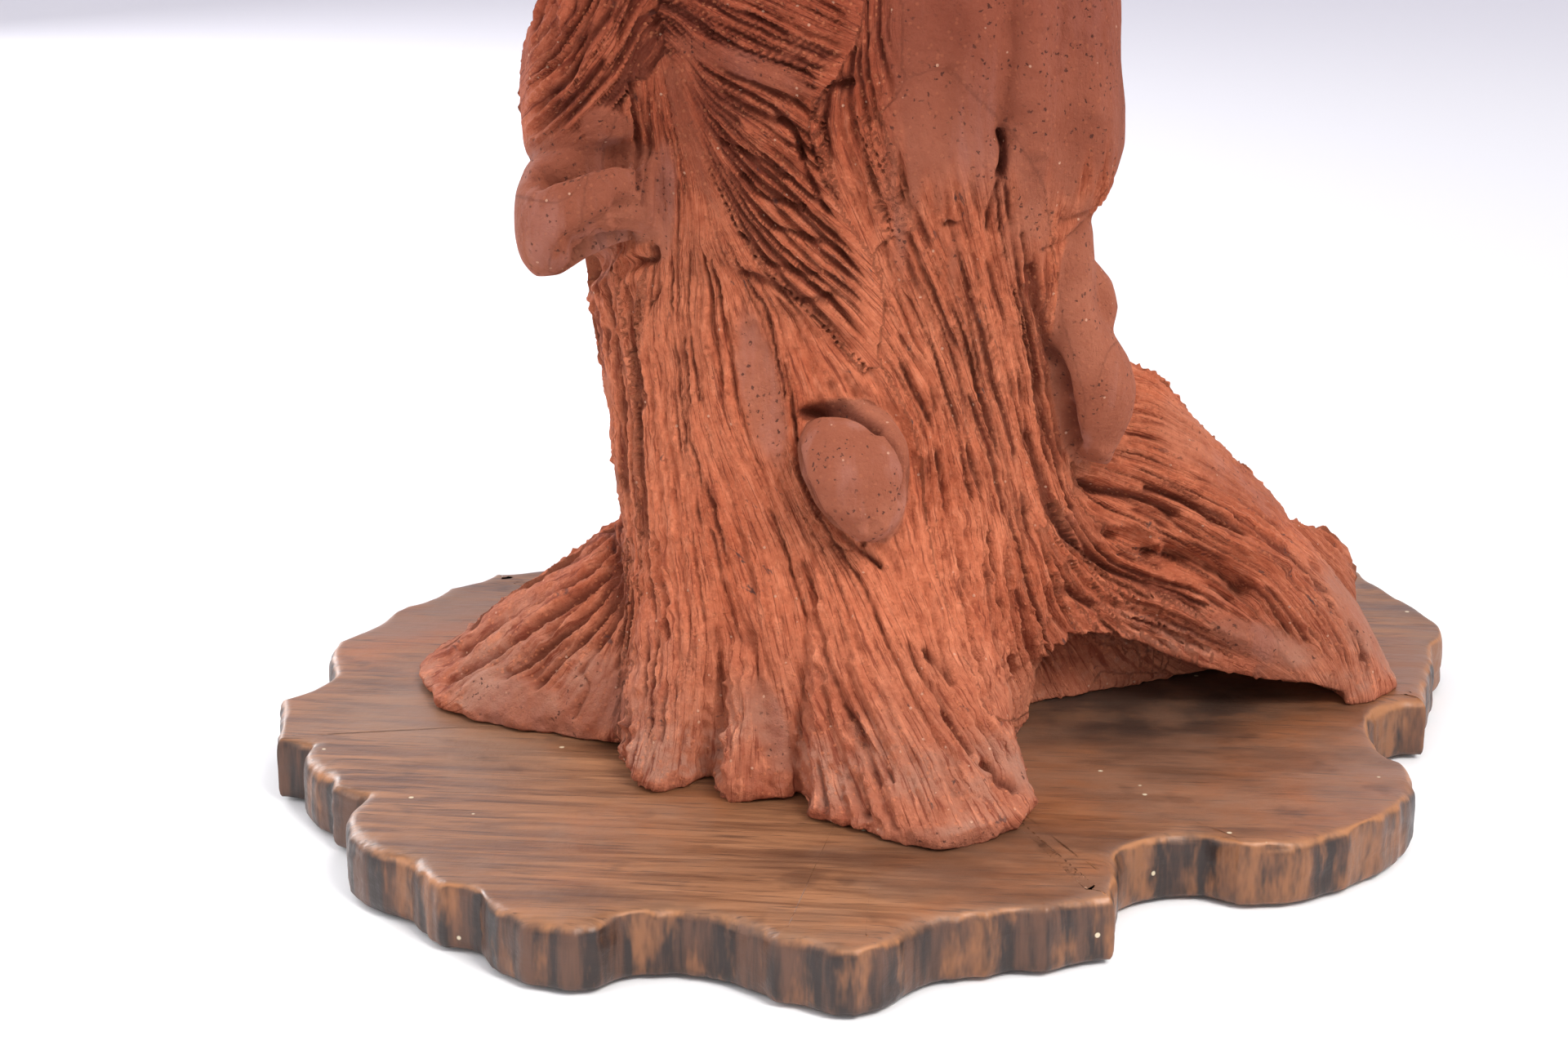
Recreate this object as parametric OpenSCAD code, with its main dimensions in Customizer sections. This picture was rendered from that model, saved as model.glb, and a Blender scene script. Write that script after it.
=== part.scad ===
// Sculpture turntable: a scalloped wooden board that turns on a hidden ball race
// and carries a modelled clay tree stump. Millimetres, +Z up. The origin is on
// the table under the turning axis, and +Y points away from the stump's face.

/* [Board] */
// Thickness of the wooden board
board_t = 20; // [18:0.5:24]
// Gap between the table and the underside of the board
board_gap = 1.5; // [1:0.1:3]
// How far the top edge is worn back
board_wear = 1.5; // [0.5:0.1:3]

/* [Ball race] */
// Diameter of the two race plates
plate_d = 220; // [204:2:226]
// Thickness of each race plate
plate_t = 2; // [1.6:0.1:2.2]
// Diameter of the circle that the balls run on
race_d = 180; // [150:2:182]
// Diameter of a ball
ball_d = 4; // [3.6:0.1:4.4]
// Number of balls
ball_n = 30; // [12:2:36]
// Diameter of the pivot pin
pivot_d = 10; // [8:0.5:12]
// Number of rubber feet
feet_n = 6; // [3:1:8]
// Diameter of a rubber foot
feet_d = 16; // [10:1:20]

/* [Fixing] */
// Diameter of the two studs that hold the clay to the board
stud_d = 8; // [6:1:10]
// Length of a stud
stud_l = 80; // [60:5:110]
// Width of a nut across its flats
nut_af = 13; // [13:0.5:15]
// Thickness of a nut
nut_t = 4; // [3:0.5:4.5]
// Diameter of a washer
washer_d = 22; // [18:1:24]

/* [Clay] */
// Height of the clay above the board
clay_h = 256; // [246:2:280]
// Radius of each end of the slot-shaped hollow inside the trunk
hollow_r = 32; // [30:1:38]
// Distance between the centres of the hollow's two round ends
hollow_w = 44; // [40:2:60]
// Height of the hollow, which the plaster core fills
hollow_h = 215; // [150:5:220]

/* [Hidden] */
eps = 0.01;

// Levels, from the table up
board_top = board_gap + board_t;
groove_depth = 0.6;
race_gap = ball_d - 2 * groove_depth;
base_top = board_gap + plate_t;
top_plate_low = base_top + race_gap;
top_plate_top = top_plate_low + plate_t;
ball_z = base_top + race_gap / 2;

// The clay's centre line, and the studs on either side of the turning axis
clay_x = -12;
clay_y = 5;
stud_x = [-40, 28];
stud_low = top_plate_top + 1;
counterbore_top = top_plate_top + 8;
washer_t = 1.6;
high = clay_h / 256;
cut_gap = 0.15;

// One corner of the board's outline a row: x, y, and how far the edge from this
// corner to the next bows out (+) or is scooped in (-)
board_edge = [
    [-200, 7, -1], [-195, -31, 0], [-184, -35, 2.5], [-178, -58, -1.5], [-171, -70, 1],
    [-160, -77, 8], [-150, -121, 0], [-140, -128, 1.5], [-129, -145, -1.5],
    [-119, -149, 1], [-114, -158, 2], [-98, -170, 2], [-84, -170, -3],
    [-62, -162, -3], [-36, -179, -1], [-27, -183, 4], [-7, -184, 0], [3, -170, -2],
    [22, -164, -1.5], [39, -161, -1.5], [58, -152, -0.5], [61, -132, -5],
    [77, -110, -2.5], [98, -115, 2], [123, -110, 3], [154, -79, 2.5], [160, -49, -2],
    [154, -26, -3], [162, -1, -2.5], [178, 6, -1], [185, 32, -1], [190, 46, -1.5],
    [194, 64, 2], [200, 84, 1.5], [191, 118, -1], [184, 148, 3], [158, 164, -2],
    [136, 170, 4], [100, 174, -4], [64, 183, 3], [20, 182, -3], [-22, 184, 2.2],
    [-76, 186, 0], [-104, 181, -4], [-119, 152, -1.5], [-143, 147, -2],
    [-159, 128, -1.5], [-172, 106, -2], [-190, 66, 2], [-186, 32, -3]
];

// Upright clay forms. Each row is one level: height above the board, then the
// form's left, right, front and back limits there
trunk_rows = [
    [0, -86, 46, -72, 70], [10, -85, 48, -69, 68], [22, -84, 52, -64, 65],
    [38, -84, 57, -61, 63], [58, -84, 61, -58, 62], [82, -86, 64, -54, 62],
    [106, -90, 66, -50, 62], [130, -94, 64, -48, 63], [156, -96, 62, -49, 64],
    [184, -96, 64, -51, 65], [212, -96, 66, -53, 66], [238, -94, 66, -53, 65],
    [250, -86, 58, -46, 58], [256, -72, 44, -34, 44]
];
lobe_rows = [
    [172, -106, -84, -12, 22], [178, -111, -74, -26, 32], [190, -114, -66, -40, 38],
    [208, -114, -62, -46, 40], [228, -110, -62, -46, 40], [244, -106, -62, -40, 34],
    [252, -98, -66, -26, 20]
];
drape_rows = [
    [164, 44, 61, -26, -4], [170, 34, 69, -40, 4], [186, 22, 73, -52, 12],
    [210, 10, 73, -60, 16], [234, 4, 70, -62, 16], [248, 8, 66, -56, 10],
    [253, 18, 56, -42, -2]
];
tongue_rows = [
    [90, 57, 66, -27, -15], [95, 53, 70, -32, -9], [108, 51, 74, -37, -5],
    [120, 48, 75, -40, -2], [134, 45, 73, -42, 0], [150, 44, 68, -42, -2],
    [166, 45, 66, -40, -5], [172, 49, 61, -34, -10]
];
knot_rows = [
    [78, -16, -10, -64, -56], [82, -22, -4, -68, -50], [88, -26, -1, -70, -46],
    [97, -29, 1, -70, -44], [106, -28, 0, -67, -43], [112, -23, -4, -63, -44],
    [115, -17, -9, -58, -47]
];

// Roots lie on the board. Each row is one station on the way out from the
// clay's centre line: distance, right and left limits, height, crest position
left_root_rows = [
    [44, -62, 52, 84, 0], [62, -56, 48, 66, 2], [76, -48, 46, 48, 4], [92, -42, 44, 36, 5],
    [110, -34, 42, 26, 6], [124, -26, 40, 18, 8], [135, -16, 36, 12, 10], [143, 2, 26, 6, 14]
];
front_left_root_rows = [
    [36, -40, 36, 96, -4], [56, -42, 36, 66, -4], [70, -38, 34, 38, -4],
    [82, -31, 28, 20, -4], [91, -20, 17, 9, -2]
];
front_root_rows = [
    [44, -40, 34, 100, -2], [62, -40, 36, 80, -2], [76, -38, 37, 54, 0], [90, -34, 36, 33, 1],
    [105, -27, 32, 19, 1], [118, -15, 20, 10, 1], [128, -6, 8, 5, 1]
];
right_root_rows = [
    [48, -38, 66, 124, 22], [72, -24, 70, 116, 20], [90, -12, 74, 108, 18],
    [106, -12, 80, 96, 22], [122, -13, 86, 82, 30], [142, -13, 90, 63, 44],
    [158, -8, 94, 49, 54], [170, 4, 98, 36, 60], [182, 28, 98, 25, 66],
    [192, 58, 96, 14, 76], [199, 80, 92, 5, 86]
];
right_cave_rows = [
    [50, -34, 0, 18, -14], [60, -46, 14, 27, -16], [76, -52, 30, 32, -16], [92, -50, 34, 29, -16],
    [110, -50, 34, 24, -16], [130, -48, 32, 18, -16], [150, -44, 26, 13, -16],
    [163, -30, 6, 6, -14]
];
right_back_root_rows = [
    [50, -26, 30, 62, 4], [84, -24, 28, 52, 2], [116, -24, 24, 40, 0], [146, -22, 20, 29, -2],
    [168, -18, 16, 18, -2], [182, -10, 8, 8, 0]
];
back_root_rows = [
    [40, -44, 46, 84, 0], [62, -40, 42, 60, 0], [84, -34, 36, 40, 0], [106, -28, 30, 25, 2],
    [124, -20, 22, 14, 2], [134, -10, 12, 6, 2]
];

// Points along one edge of the outline, bowed or scooped by its third number
function arc_between(p, q, bow, n) =
    let (d = [q.x - p.x, q.y - p.y], l = norm(d), out = [d.y, -d.x] / l)
    [for (i = [0:n - 1]) let (t = i / n) [p.x, p.y] + d * t + out * bow * 4 * t * (1 - t)];

function outline(edge, n) =
    [for (i = [0:len(edge) - 1])
        each arc_between(edge[i], edge[(i + 1) % len(edge)], edge[i][2], n)];

// Side and end faces of a solid swept through rings of n points each
function skin_faces(rings, n) = concat(
    [for (i = [0:rings - 2], j = [0:n - 1])
        each [[i * n + j, (i + 1) * n + j, (i + 1) * n + (j + 1) % n],
              [i * n + j, (i + 1) * n + (j + 1) % n, i * n + (j + 1) % n]]],
    [[for (j = [0:n - 1]) j]],
    [[for (j = [n - 1:-1:0]) (rings - 1) * n + j]]
);

module skin(rings) {
    n = len(rings[0]);
    polyhedron(points = [for (r = rings) each r], faces = skin_faces(len(rings), n));
}

function power(v, p) = sign(v) * pow(abs(v), p);

// A level ring between four limits, squarer than an ellipse
function level_ring(row, n) =
    let (cx = (row[1] + row[2]) / 2, cy = (row[3] + row[4]) / 2)
    [for (j = [0:n - 1])
        let (a = 360 * j / n - 90)
        [cx + power(cos(a), 0.86) * (row[2] - row[1]) / 2,
         cy + power(sin(a), 0.86) * (row[4] - row[3]) / 2,
         board_top + row[0] * high]];

module upright_form(rows, n) skin([for (row = rows) level_ring(row, n)]);

// An arched ring that stands on the board, highest at the crest
function arch_ring(row, n) =
    [for (j = [0:n])
        let (a = 180 * j / n, side = cos(a) > 0 ? row[2] - row[4] : row[4] - row[1])
        [row[0], row[4] + power(cos(a), 0.9) * side,
         board_top + pow(abs(sin(a)), 0.75) * row[3] * high]];

// A form that cuts a neighbour runs on below the top of the board, in line with
// its lowest facets
function run_on(a, b, share) = a + (a - b) * share;

function sunk_ring(ring) =
    let (n = len(ring) - 1)
    [for (j = [0:n]) j == 0 ? run_on(ring[0], ring[1], 0.2)
                   : j == n ? run_on(ring[n], ring[n - 1], 0.2) : ring[j]];

function sunk_rows(rows) =
    [for (i = [0:len(rows) - 1]) i == 0 ? run_on(rows[0], rows[1], 0.5) : rows[i]];

// A cutting form is also cut_gap larger all round
function grown(row) =
    [row[0], row[1] - cut_gap, row[2] + cut_gap, row[3] + cut_gap, row[4]];

module root_form(rows, heading, cuts = false, n = 14)
    translate([clay_x, clay_y, 0]) rotate(heading)
        skin([for (row = rows) cuts ? sunk_ring(arch_ring(grown(row), n)) : arch_ring(row, n)]);

module trunk_form(cuts = false) upright_form(cuts ? sunk_rows(trunk_rows) : trunk_rows, 40);
module lobe_form() upright_form(lobe_rows, 24);
module drape_form() upright_form(drape_rows, 24);
module tongue_form() upright_form(tongue_rows, 18);
module left_root_form(cuts = false) root_form(left_root_rows, 175, cuts);
module front_left_root_form(cuts = false)
    translate([-36, 0, 0]) root_form(front_left_root_rows, -98, cuts);
module front_root_form(cuts = false)
    translate([16, 0, 0]) root_form(front_root_rows, -88, cuts);
module right_root_form(cuts = false) root_form(right_root_rows, 0, cuts);
module right_cave() root_form(right_cave_rows, 0, true);
module right_back_root_form(cuts = false) root_form(right_back_root_rows, 38, cuts);
module back_root_form() root_form(back_root_rows, 112);

// Rubber feet under the base plate
module feet() color("#26262a")
    for (i = [0:feet_n - 1])
        rotate(360 * i / feet_n) translate([plate_d / 2 - 14, 0, 0])
            cylinder(h = board_gap, d = feet_d, $fn = 48);

module ball_groove()
    rotate_extrude($fn = 128)
        translate([race_d / 2, ball_z]) circle(d = ball_d + 0.1, $fn = 32);

module base_plate() color("#b8bcc0")
    difference() {
        translate([0, 0, board_gap]) cylinder(h = plate_t, d = plate_d, $fn = 128);
        ball_groove();
        translate([0, 0, board_gap - 1]) cylinder(h = plate_t + 2, d = pivot_d, $fn = 48);
    }

// The pin is riveted into the base plate; its collar spaces the plates
module pivot_pin() color("#8d9196") {
    translate([0, 0, board_gap]) cylinder(h = plate_t + race_gap + plate_t + 2, d = pivot_d, $fn = 48);
    translate([0, 0, base_top]) cylinder(h = race_gap - 0.1, d = pivot_d + 6, $fn = 48);
}

module pivot_clip() color("#55585c")
    translate([0, 0, top_plate_top + 0.2]) difference() {
        cylinder(h = 1.2, d = pivot_d + 7, $fn = 48);
        translate([0, 0, -1]) cylinder(h = 4, d = pivot_d, $fn = 48);
    }

module ball_places()
    for (i = [0:ball_n - 1])
        rotate(360 * i / ball_n) translate([race_d / 2, 0, ball_z]) children();

module balls() color("#d5d8db") ball_places() sphere(d = ball_d, $fn = 32);

module ball_cage() color("#e6e0cf")
    difference() {
        translate([0, 0, ball_z - 0.5]) cylinder(h = 1, d = race_d + 12, $fn = 128);
        translate([0, 0, ball_z - 2]) cylinder(h = 4, d = race_d - 12, $fn = 128);
        ball_places() translate([0, 0, -2]) cylinder(h = 4, d = ball_d + 0.2, $fn = 32);
    }

module screw_places()
    for (i = [0:5])
        rotate(360 * i / 6 + 30) translate([plate_d / 2 - 8, 0, 0]) children();

module top_plate() color("#b8bcc0")
    difference() {
        translate([0, 0, top_plate_low]) cylinder(h = plate_t, d = plate_d, $fn = 128);
        ball_groove();
        translate([0, 0, top_plate_low - 1])
            cylinder(h = plate_t + 2, d = pivot_d + 0.1, $fn = 48);
        screw_places() translate([0, 0, top_plate_low - 1])
            cylinder(h = plate_t + 2, d = 4.4, $fn = 24);
        screw_places() translate([0, 0, top_plate_low - eps])
            cylinder(h = 1.6, d1 = 8, d2 = 4.4, $fn = 24);
    }

// Countersunk screws, heads flush with the top plate's underside
module plate_screws() color("#c9ccd0")
    screw_places() {
        translate([0, 0, top_plate_low]) cylinder(h = 1.5, d1 = 7.6, d2 = 4, $fn = 24);
        translate([0, 0, top_plate_low]) cylinder(h = 10, d = 4, $fn = 24);
    }

// The board's top edge is worn back by board_wear
module board_blank() {
    edge = outline(board_edge, 3);
    translate([0, 0, board_gap]) linear_extrude(board_t - board_wear) polygon(edge);
    translate([0, 0, board_top - board_wear]) linear_extrude(board_wear)
        polygon(edge * (1 - board_wear / 190));
}

module stud_places()
    for (x = stud_x) translate([x, clay_y, 0]) children();

module board() color("#7a4a28")
    difference() {
        board_blank();
        translate([0, 0, board_gap - 1])
            cylinder(h = top_plate_top - board_gap + 1, d = plate_d + 7, $fn = 128);
        translate([0, 0, top_plate_top - 1]) cylinder(h = 3.8, d = pivot_d + 10, $fn = 48);
        screw_places() translate([0, 0, top_plate_top - 1])
            cylinder(h = top_plate_low + 10 - top_plate_top + 1, d = 4, $fn = 24);
        stud_places() translate([0, 0, top_plate_top - 1])
            cylinder(h = counterbore_top - top_plate_top + 1, d = washer_d + 2, $fn = 48);
        stud_places() translate([0, 0, top_plate_top])
            cylinder(h = board_t, d = stud_d + 0.4, $fn = 32);
    }

module studs() color("#a9adb2")
    stud_places() translate([0, 0, stud_low]) cylinder(h = stud_l, d = stud_d, $fn = 32);

module washers() color("#b8bcc0")
    stud_places() translate([0, 0, counterbore_top - washer_t]) difference() {
        cylinder(h = washer_t, d = washer_d, $fn = 48);
        translate([0, 0, -1]) cylinder(h = 4, d = stud_d + 0.4, $fn = 32);
    }

module nuts() color("#a9adb2")
    stud_places() translate([0, 0, counterbore_top - washer_t - nut_t]) difference() {
        cylinder(h = nut_t, d = nut_af / cos(30), $fn = 6);
        translate([0, 0, -1]) cylinder(h = nut_t + 2, d = stud_d, $fn = 32);
    }

// Slot-shaped column: two round ends joined by a block
module slot_column(low, h) translate([clay_x, clay_y, low]) {
    for (side = [-1, 1])
        translate([side * hollow_w / 2, 0, 0]) cylinder(h = h, r = hollow_r, $fn = 64);
    translate([-hollow_w / 2, -hollow_r, 0]) cube([hollow_w, 2 * hollow_r, h]);
}

// Plaster cast round the studs inside the hollow clay
module plaster_core() color("#e9e5da")
    difference() {
        slot_column(board_top, hollow_h);
        stud_places() translate([0, 0, board_top - 1])
            cylinder(h = stud_low + stud_l - board_top + 1, d = stud_d, $fn = 32);
    }

module trunk() color("#b5593c")
    difference() {
        trunk_form();
        slot_column(board_top - 1, hollow_h + 1);
    }

module bark_lobe() color("#a04c34")
    difference() { lobe_form(); trunk_form(); }

// Blunt stub of a sawn branch, pointing left and forward
module branch_stub() color("#c06a4a")
    difference() {
        translate([-94, -33, board_top + 168 * high]) rotate([0, -90, 23])
            rotate_extrude($fn = 32)
                polygon([[0, -44], [14, -44], [16, -10], [18, 4], [15, 13], [8, 18], [0, 19]]);
        trunk_form();
        lobe_form();
    }

module knot() color("#c87452")
    difference() { upright_form(knot_rows, 18); trunk_form(); }

module drape() color("#bd6344")
    difference() { drape_form(); trunk_form(); }

module drape_tongue() color("#c26b4b")
    difference() { tongue_form(); trunk_form(); drape_form(); }

module left_root() color("#b86248")
    difference() { left_root_form(); trunk_form(true); front_left_root_form(true); }

module front_left_root() color("#b05a40")
    difference() { front_left_root_form(); trunk_form(true); front_root_form(true); }

module front_root() color("#a85239")
    difference() { front_root_form(); trunk_form(true); upright_form(knot_rows, 18); }

// Stands clear of the board along its front, like a low arch
module right_root() color("#ad563c")
    difference() {
        right_root_form();
        right_cave();
        trunk_form(true);
        front_root_form(true);
        tongue_form();
    }

module right_back_root() color("#a65038")
    difference() { right_back_root_form(); trunk_form(true); right_root_form(true); }

module back_root() color("#b05a40")
    difference() {
        back_root_form();
        trunk_form(true);
        right_back_root_form(true);
        left_root_form(true);
    }

feet();
base_plate();
pivot_pin();
pivot_clip();
balls();
ball_cage();
top_plate();
plate_screws();
board();
studs();
washers();
nuts();
plaster_core();
trunk();
bark_lobe();
branch_stub();
knot();
drape();
drape_tongue();
left_root();
front_left_root();
front_root();
right_root();
right_back_root();
back_root();
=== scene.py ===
"""Sculpture turntable: the clay stump, its scalloped board and the ball race under it."""

import math

import bmesh
import bpy
import numpy as np
from mathutils import Matrix, Vector, kdtree
from mathutils.bvhtree import BVHTree


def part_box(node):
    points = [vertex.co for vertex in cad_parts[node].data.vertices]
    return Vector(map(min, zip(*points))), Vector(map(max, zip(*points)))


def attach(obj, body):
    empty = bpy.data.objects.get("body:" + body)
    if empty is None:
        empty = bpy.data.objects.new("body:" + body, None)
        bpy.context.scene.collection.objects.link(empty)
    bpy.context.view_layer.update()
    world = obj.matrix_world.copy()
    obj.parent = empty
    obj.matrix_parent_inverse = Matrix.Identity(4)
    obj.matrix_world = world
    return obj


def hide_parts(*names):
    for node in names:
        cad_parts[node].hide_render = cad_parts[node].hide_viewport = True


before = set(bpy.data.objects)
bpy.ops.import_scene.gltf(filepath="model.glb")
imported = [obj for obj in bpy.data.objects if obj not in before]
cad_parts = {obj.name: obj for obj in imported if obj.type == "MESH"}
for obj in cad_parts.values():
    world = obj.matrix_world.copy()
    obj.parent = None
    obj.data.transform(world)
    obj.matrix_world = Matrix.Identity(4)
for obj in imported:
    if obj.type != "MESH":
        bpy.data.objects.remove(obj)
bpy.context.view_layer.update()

MM = 0.001
BOARD_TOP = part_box("board")[1][2] / MM
CLAY_X, CLAY_Y = -12.0, 5.0
VOXEL = 0.8
VIEW_TILT = math.radians(16.5)
VIEW_SLOPE = 0.296


# ---------------------------------------------------------------- noise

def lattice(ix, iy, iz, seed):
    """One repeatable random value from 0 to 1 for each lattice point."""
    h = ix * 374761393 + iy * 668265263 + iz * 2147483647 + seed * 974634777
    h = (h ^ (h >> 13)) * 1274126177
    h = h ^ (h >> 16)
    return (h & 0xFFFF) / 65535.0


def noise(points, size, seed=0):
    """Smooth value noise from -1 to 1 with features of a size in mm."""
    p = np.asarray(points, dtype=np.float64) / size + 1000.0
    base = np.floor(p).astype(np.int64)
    f = p - base
    f = f * f * (3 - 2 * f)
    total = np.zeros(len(p))
    for dx in (0, 1):
        wx = f[:, 0] if dx else 1 - f[:, 0]
        for dy in (0, 1):
            wy = f[:, 1] if dy else 1 - f[:, 1]
            for dz in (0, 1):
                wz = f[:, 2] if dz else 1 - f[:, 2]
                value = lattice(base[:, 0] + dx, base[:, 1] + dy, base[:, 2] + dz, seed)
                total += wx * wy * wz * value
    return total * 2 - 1


def smoothstep(x):
    """0 below 0, 1 above 1, and a smooth rise between."""
    x = np.clip(x, 0, 1)
    return x * x * (3 - 2 * x)


# ---------------------------------------------------------------- forms in mm

def resample_rows(rows, step):
    """Rows of (position, values...) at even steps along the first column."""
    rows = np.array(rows, dtype=float)
    count = max(2, int(abs(rows[-1, 0] - rows[0, 0]) / step) + 1)
    at = np.linspace(rows[0, 0], rows[-1, 0], count)
    return np.stack([at] + [np.interp(at, rows[:, 0], rows[:, k])
                            for k in range(1, rows.shape[1])], axis=1)


def squarish(angle, power=0.86):
    """Points of a unit circle drawn out towards a square."""
    c, s = np.cos(angle), np.sin(angle)
    return np.sign(c) * np.abs(c) ** power, np.sign(s) * np.abs(s) ** power


def level_ring(row, count):
    """A level ring from its height and its left, right, front and back limits."""
    z, left, right, front, back = row
    cx, cy = squarish(np.linspace(0, 2 * np.pi, count, endpoint=False) - np.pi / 2)
    return np.stack([(left + right) / 2 + cx * (right - left) / 2,
                     (front + back) / 2 + cy * (back - front) / 2,
                     np.full(count, z)], axis=1)


def ring_radii(ring, angles):
    """How far a ring reaches from the clay's centre line in each direction."""
    dx, dy = ring[:, 0] - CLAY_X, ring[:, 1] - CLAY_Y
    a = np.arctan2(dy, dx)
    order = np.argsort(a)
    return np.interp(angles, a[order], np.hypot(dx, dy)[order], period=2 * np.pi)


def arch_ring(row, count):
    """A root's section: an arch at a distance out, with its limits, height and crest."""
    d, right, left, height, crest = row
    a = np.linspace(0, np.pi, count)
    c = np.cos(a)
    side = np.where(c > 0, left - crest, crest - right)
    y = crest + np.sign(c) * np.abs(c) ** 0.9 * side
    return np.stack([np.full(count, d), y, np.abs(np.sin(a)) ** 0.75 * height], axis=1)


def turned(points, heading):
    """Points laid out along +X, turned to a heading round the clay's centre line."""
    c, s = math.cos(math.radians(heading)), math.sin(math.radians(heading))
    x, y = points[:, 0], points[:, 1]
    return np.stack([CLAY_X + c * x - s * y, CLAY_Y + s * x + c * y, points[:, 2]], axis=1)


def add_object(name, data):
    obj = bpy.data.objects.new(name, data)
    bpy.context.scene.collection.objects.link(obj)
    return obj


def loft_object(name, rings):
    """A closed mesh object through rings that each have the same number of points."""
    count = len(rings[0])
    verts = np.concatenate(rings)
    faces = []
    for i in range(len(rings) - 1):
        a, b = i * count, (i + 1) * count
        for j in range(count):
            k = (j + 1) % count
            faces.append((a + j, a + k, b + k, b + j))
    last = (len(rings) - 1) * count
    faces.append(tuple(range(count))[::-1])
    faces.append(tuple(last + j for j in range(count)))
    return mesh_object(name, verts, faces)


def mesh_object(name, verts_mm, faces):
    """A mesh object from millimetres above the board's top, in metres in the frame."""
    mesh = bpy.data.meshes.new(name)
    placed = (np.asarray(verts_mm) + [0, 0, BOARD_TOP]) * MM
    mesh.from_pydata(placed.tolist(), [], faces)
    mesh.update()
    return add_object(name, mesh)


# ---------------------------------------------------------------- clay base forms

# Trunk levels: height above the board, left, right, front and back limits
TRUNK_ROWS = [
    (0, -84, 46, -62, 68), (22, -84, 50, -60, 65), (38, -84, 56, -59, 63),
    (58, -85, 60, -57, 62), (82, -88, 63, -53, 62), (106, -91, 64, -49, 62),
    (130, -95, 63, -47, 63), (156, -97, 61, -48, 64), (184, -97, 63, -51, 65),
    (212, -97, 65, -53, 66), (238, -95, 65, -53, 65), (250, -87, 57, -46, 58),
    (255, -74, 46, -36, 46),
]

# The edge of the clay where it meets the board, counter-clockwise from the left tip
FOOT_EDGE = [
    (-156, 33), (-154, 16), (-147, -6), (-136, -17), (-114, -28), (-87, -39),
    (-85, -54), (-80, -72), (-73, -78), (-64, -74), (-57, -63), (-55, -68), (-52, -87), (-33, -85),
    (-30, -77), (-27, -99),
    (-10, -110), (-2, -119), (11, -124), (24, -118), (34, -108), (40, -97), (39, -70),
    (36, -24), (42, 10), (46, 36), (42, 68), (10, 72), (-20, 78), (-36, 104), (-46, 122),
    (-62, 126), (-78, 114), (-88, 92), (-100, 74), (-128, 66), (-149, 52),
]

# Flare by direction: degrees, height that it dies out at, curve power, lip height
FLARES = [
    (0, 20, 1.0, 3), (60, 24, 1.2, 3), (112, 80, 1.4, 5), (140, 60, 1.2, 4),
    (170, 57, 0.95, 4), (200, 52, 1.0, 4), (212, 54, 1.2, 4), (222, 84, 1.9, 6),
    (245, 92, 2.1, 6), (262, 100, 2.1, 6), (285, 104, 2.1, 6), (300, 96, 2.0, 6),
    (312, 80, 1.7, 6), (330, 40, 1.2, 5), (360, 20, 1.0, 3),
]


def ray_radii(outline, angles):
    """Distance from the clay's centre line to an outline in each direction."""
    pts = np.array(outline, dtype=float) - [CLAY_X, CLAY_Y]
    out = np.zeros(len(angles))
    d = np.stack([np.cos(angles), np.sin(angles)], axis=1)
    for p, q in zip(pts, np.roll(pts, -1, axis=0)):
        e = q - p
        det = d[:, 0] * -e[1] + d[:, 1] * e[0]
        det = np.where(np.abs(det) < 1e-9, 1e-9, det)
        t = (p[0] * -e[1] + p[1] * e[0]) / det
        u = (d[:, 0] * p[1] - d[:, 1] * p[0]) / det
        hit = (t > 0) & (u >= 0) & (u <= 1)
        out = np.where(hit, np.maximum(out, t), out)
    return out


def trunk_rings():
    """Rings up the trunk, flared at the bottom out to the clay's edge on the board."""
    count = 480
    angles = np.linspace(0, 2 * np.pi, count, endpoint=False)
    degrees = np.degrees(angles)
    flare = np.array(FLARES, dtype=float)
    height, power, lip = (np.interp(degrees, flare[:, 0], flare[:, k]) for k in (1, 2, 3))
    foot = ray_radii(FOOT_EDGE, angles)
    rings = []
    for row in resample_rows(TRUNK_ROWS, 2.0):
        z = row[0]
        trunk = ring_radii(level_ring(row, 720), angles)
        share = (1 - np.clip((z - lip) / height, 0, 1)) ** power
        tuck = np.clip(1 - z / 3.0, 0, 1) * 2.0
        r = np.maximum(trunk, trunk + (foot - trunk) * share) - tuck * (foot > trunk)
        rings.append(np.stack([CLAY_X + r * np.cos(angles), CLAY_Y + r * np.sin(angles),
                               np.full(count, z)], axis=1))
    return rings


# Right root stations along +X from the clay's centre line: distance, front and
# back limits, height, crest
RIGHT_ROOT_ROWS = [
    (48, -38, 66, 126, 24), (72, -24, 70, 117, 20), (90, -12, 74, 110, 18),
    (102, -12, 78, 104, 20), (109, -12, 80, 95, 22), (122, -13, 86, 81, 30), (142, -13, 78, 59, 38),
    (156, -9, 76, 42, 36), (166, -4, 74, 31, 34), (173, 0, 68, 22, 32),
    (178, 6, 60, 13, 32), (182, 14, 52, 5, 32),
]
# The space under it, in the same form
RIGHT_CAVE_ROWS = [
    (46, -36, -6, 12, -18), (60, -50, 24, 27, -18), (76, -56, 46, 30, -18),
    (92, -56, 50, 24, -18), (110, -54, 46, 17, -18), (130, -50, 34, 12, -18),
    (150, -44, 22, 9, -16), (162, -30, 6, 4, -14),
]
# The low root behind it, in the same form but turned to its own heading
RIGHT_BACK_ROWS = [
    (50, -26, 30, 62, 4), (84, -24, 28, 56, 2), (116, -22, 24, 50, 0), (146, -20, 20, 44, -2),
    (168, -17, 16, 43, -2), (181, -14, 13, 38, -1), (189, -9, 8, 31, 0),
]


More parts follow.
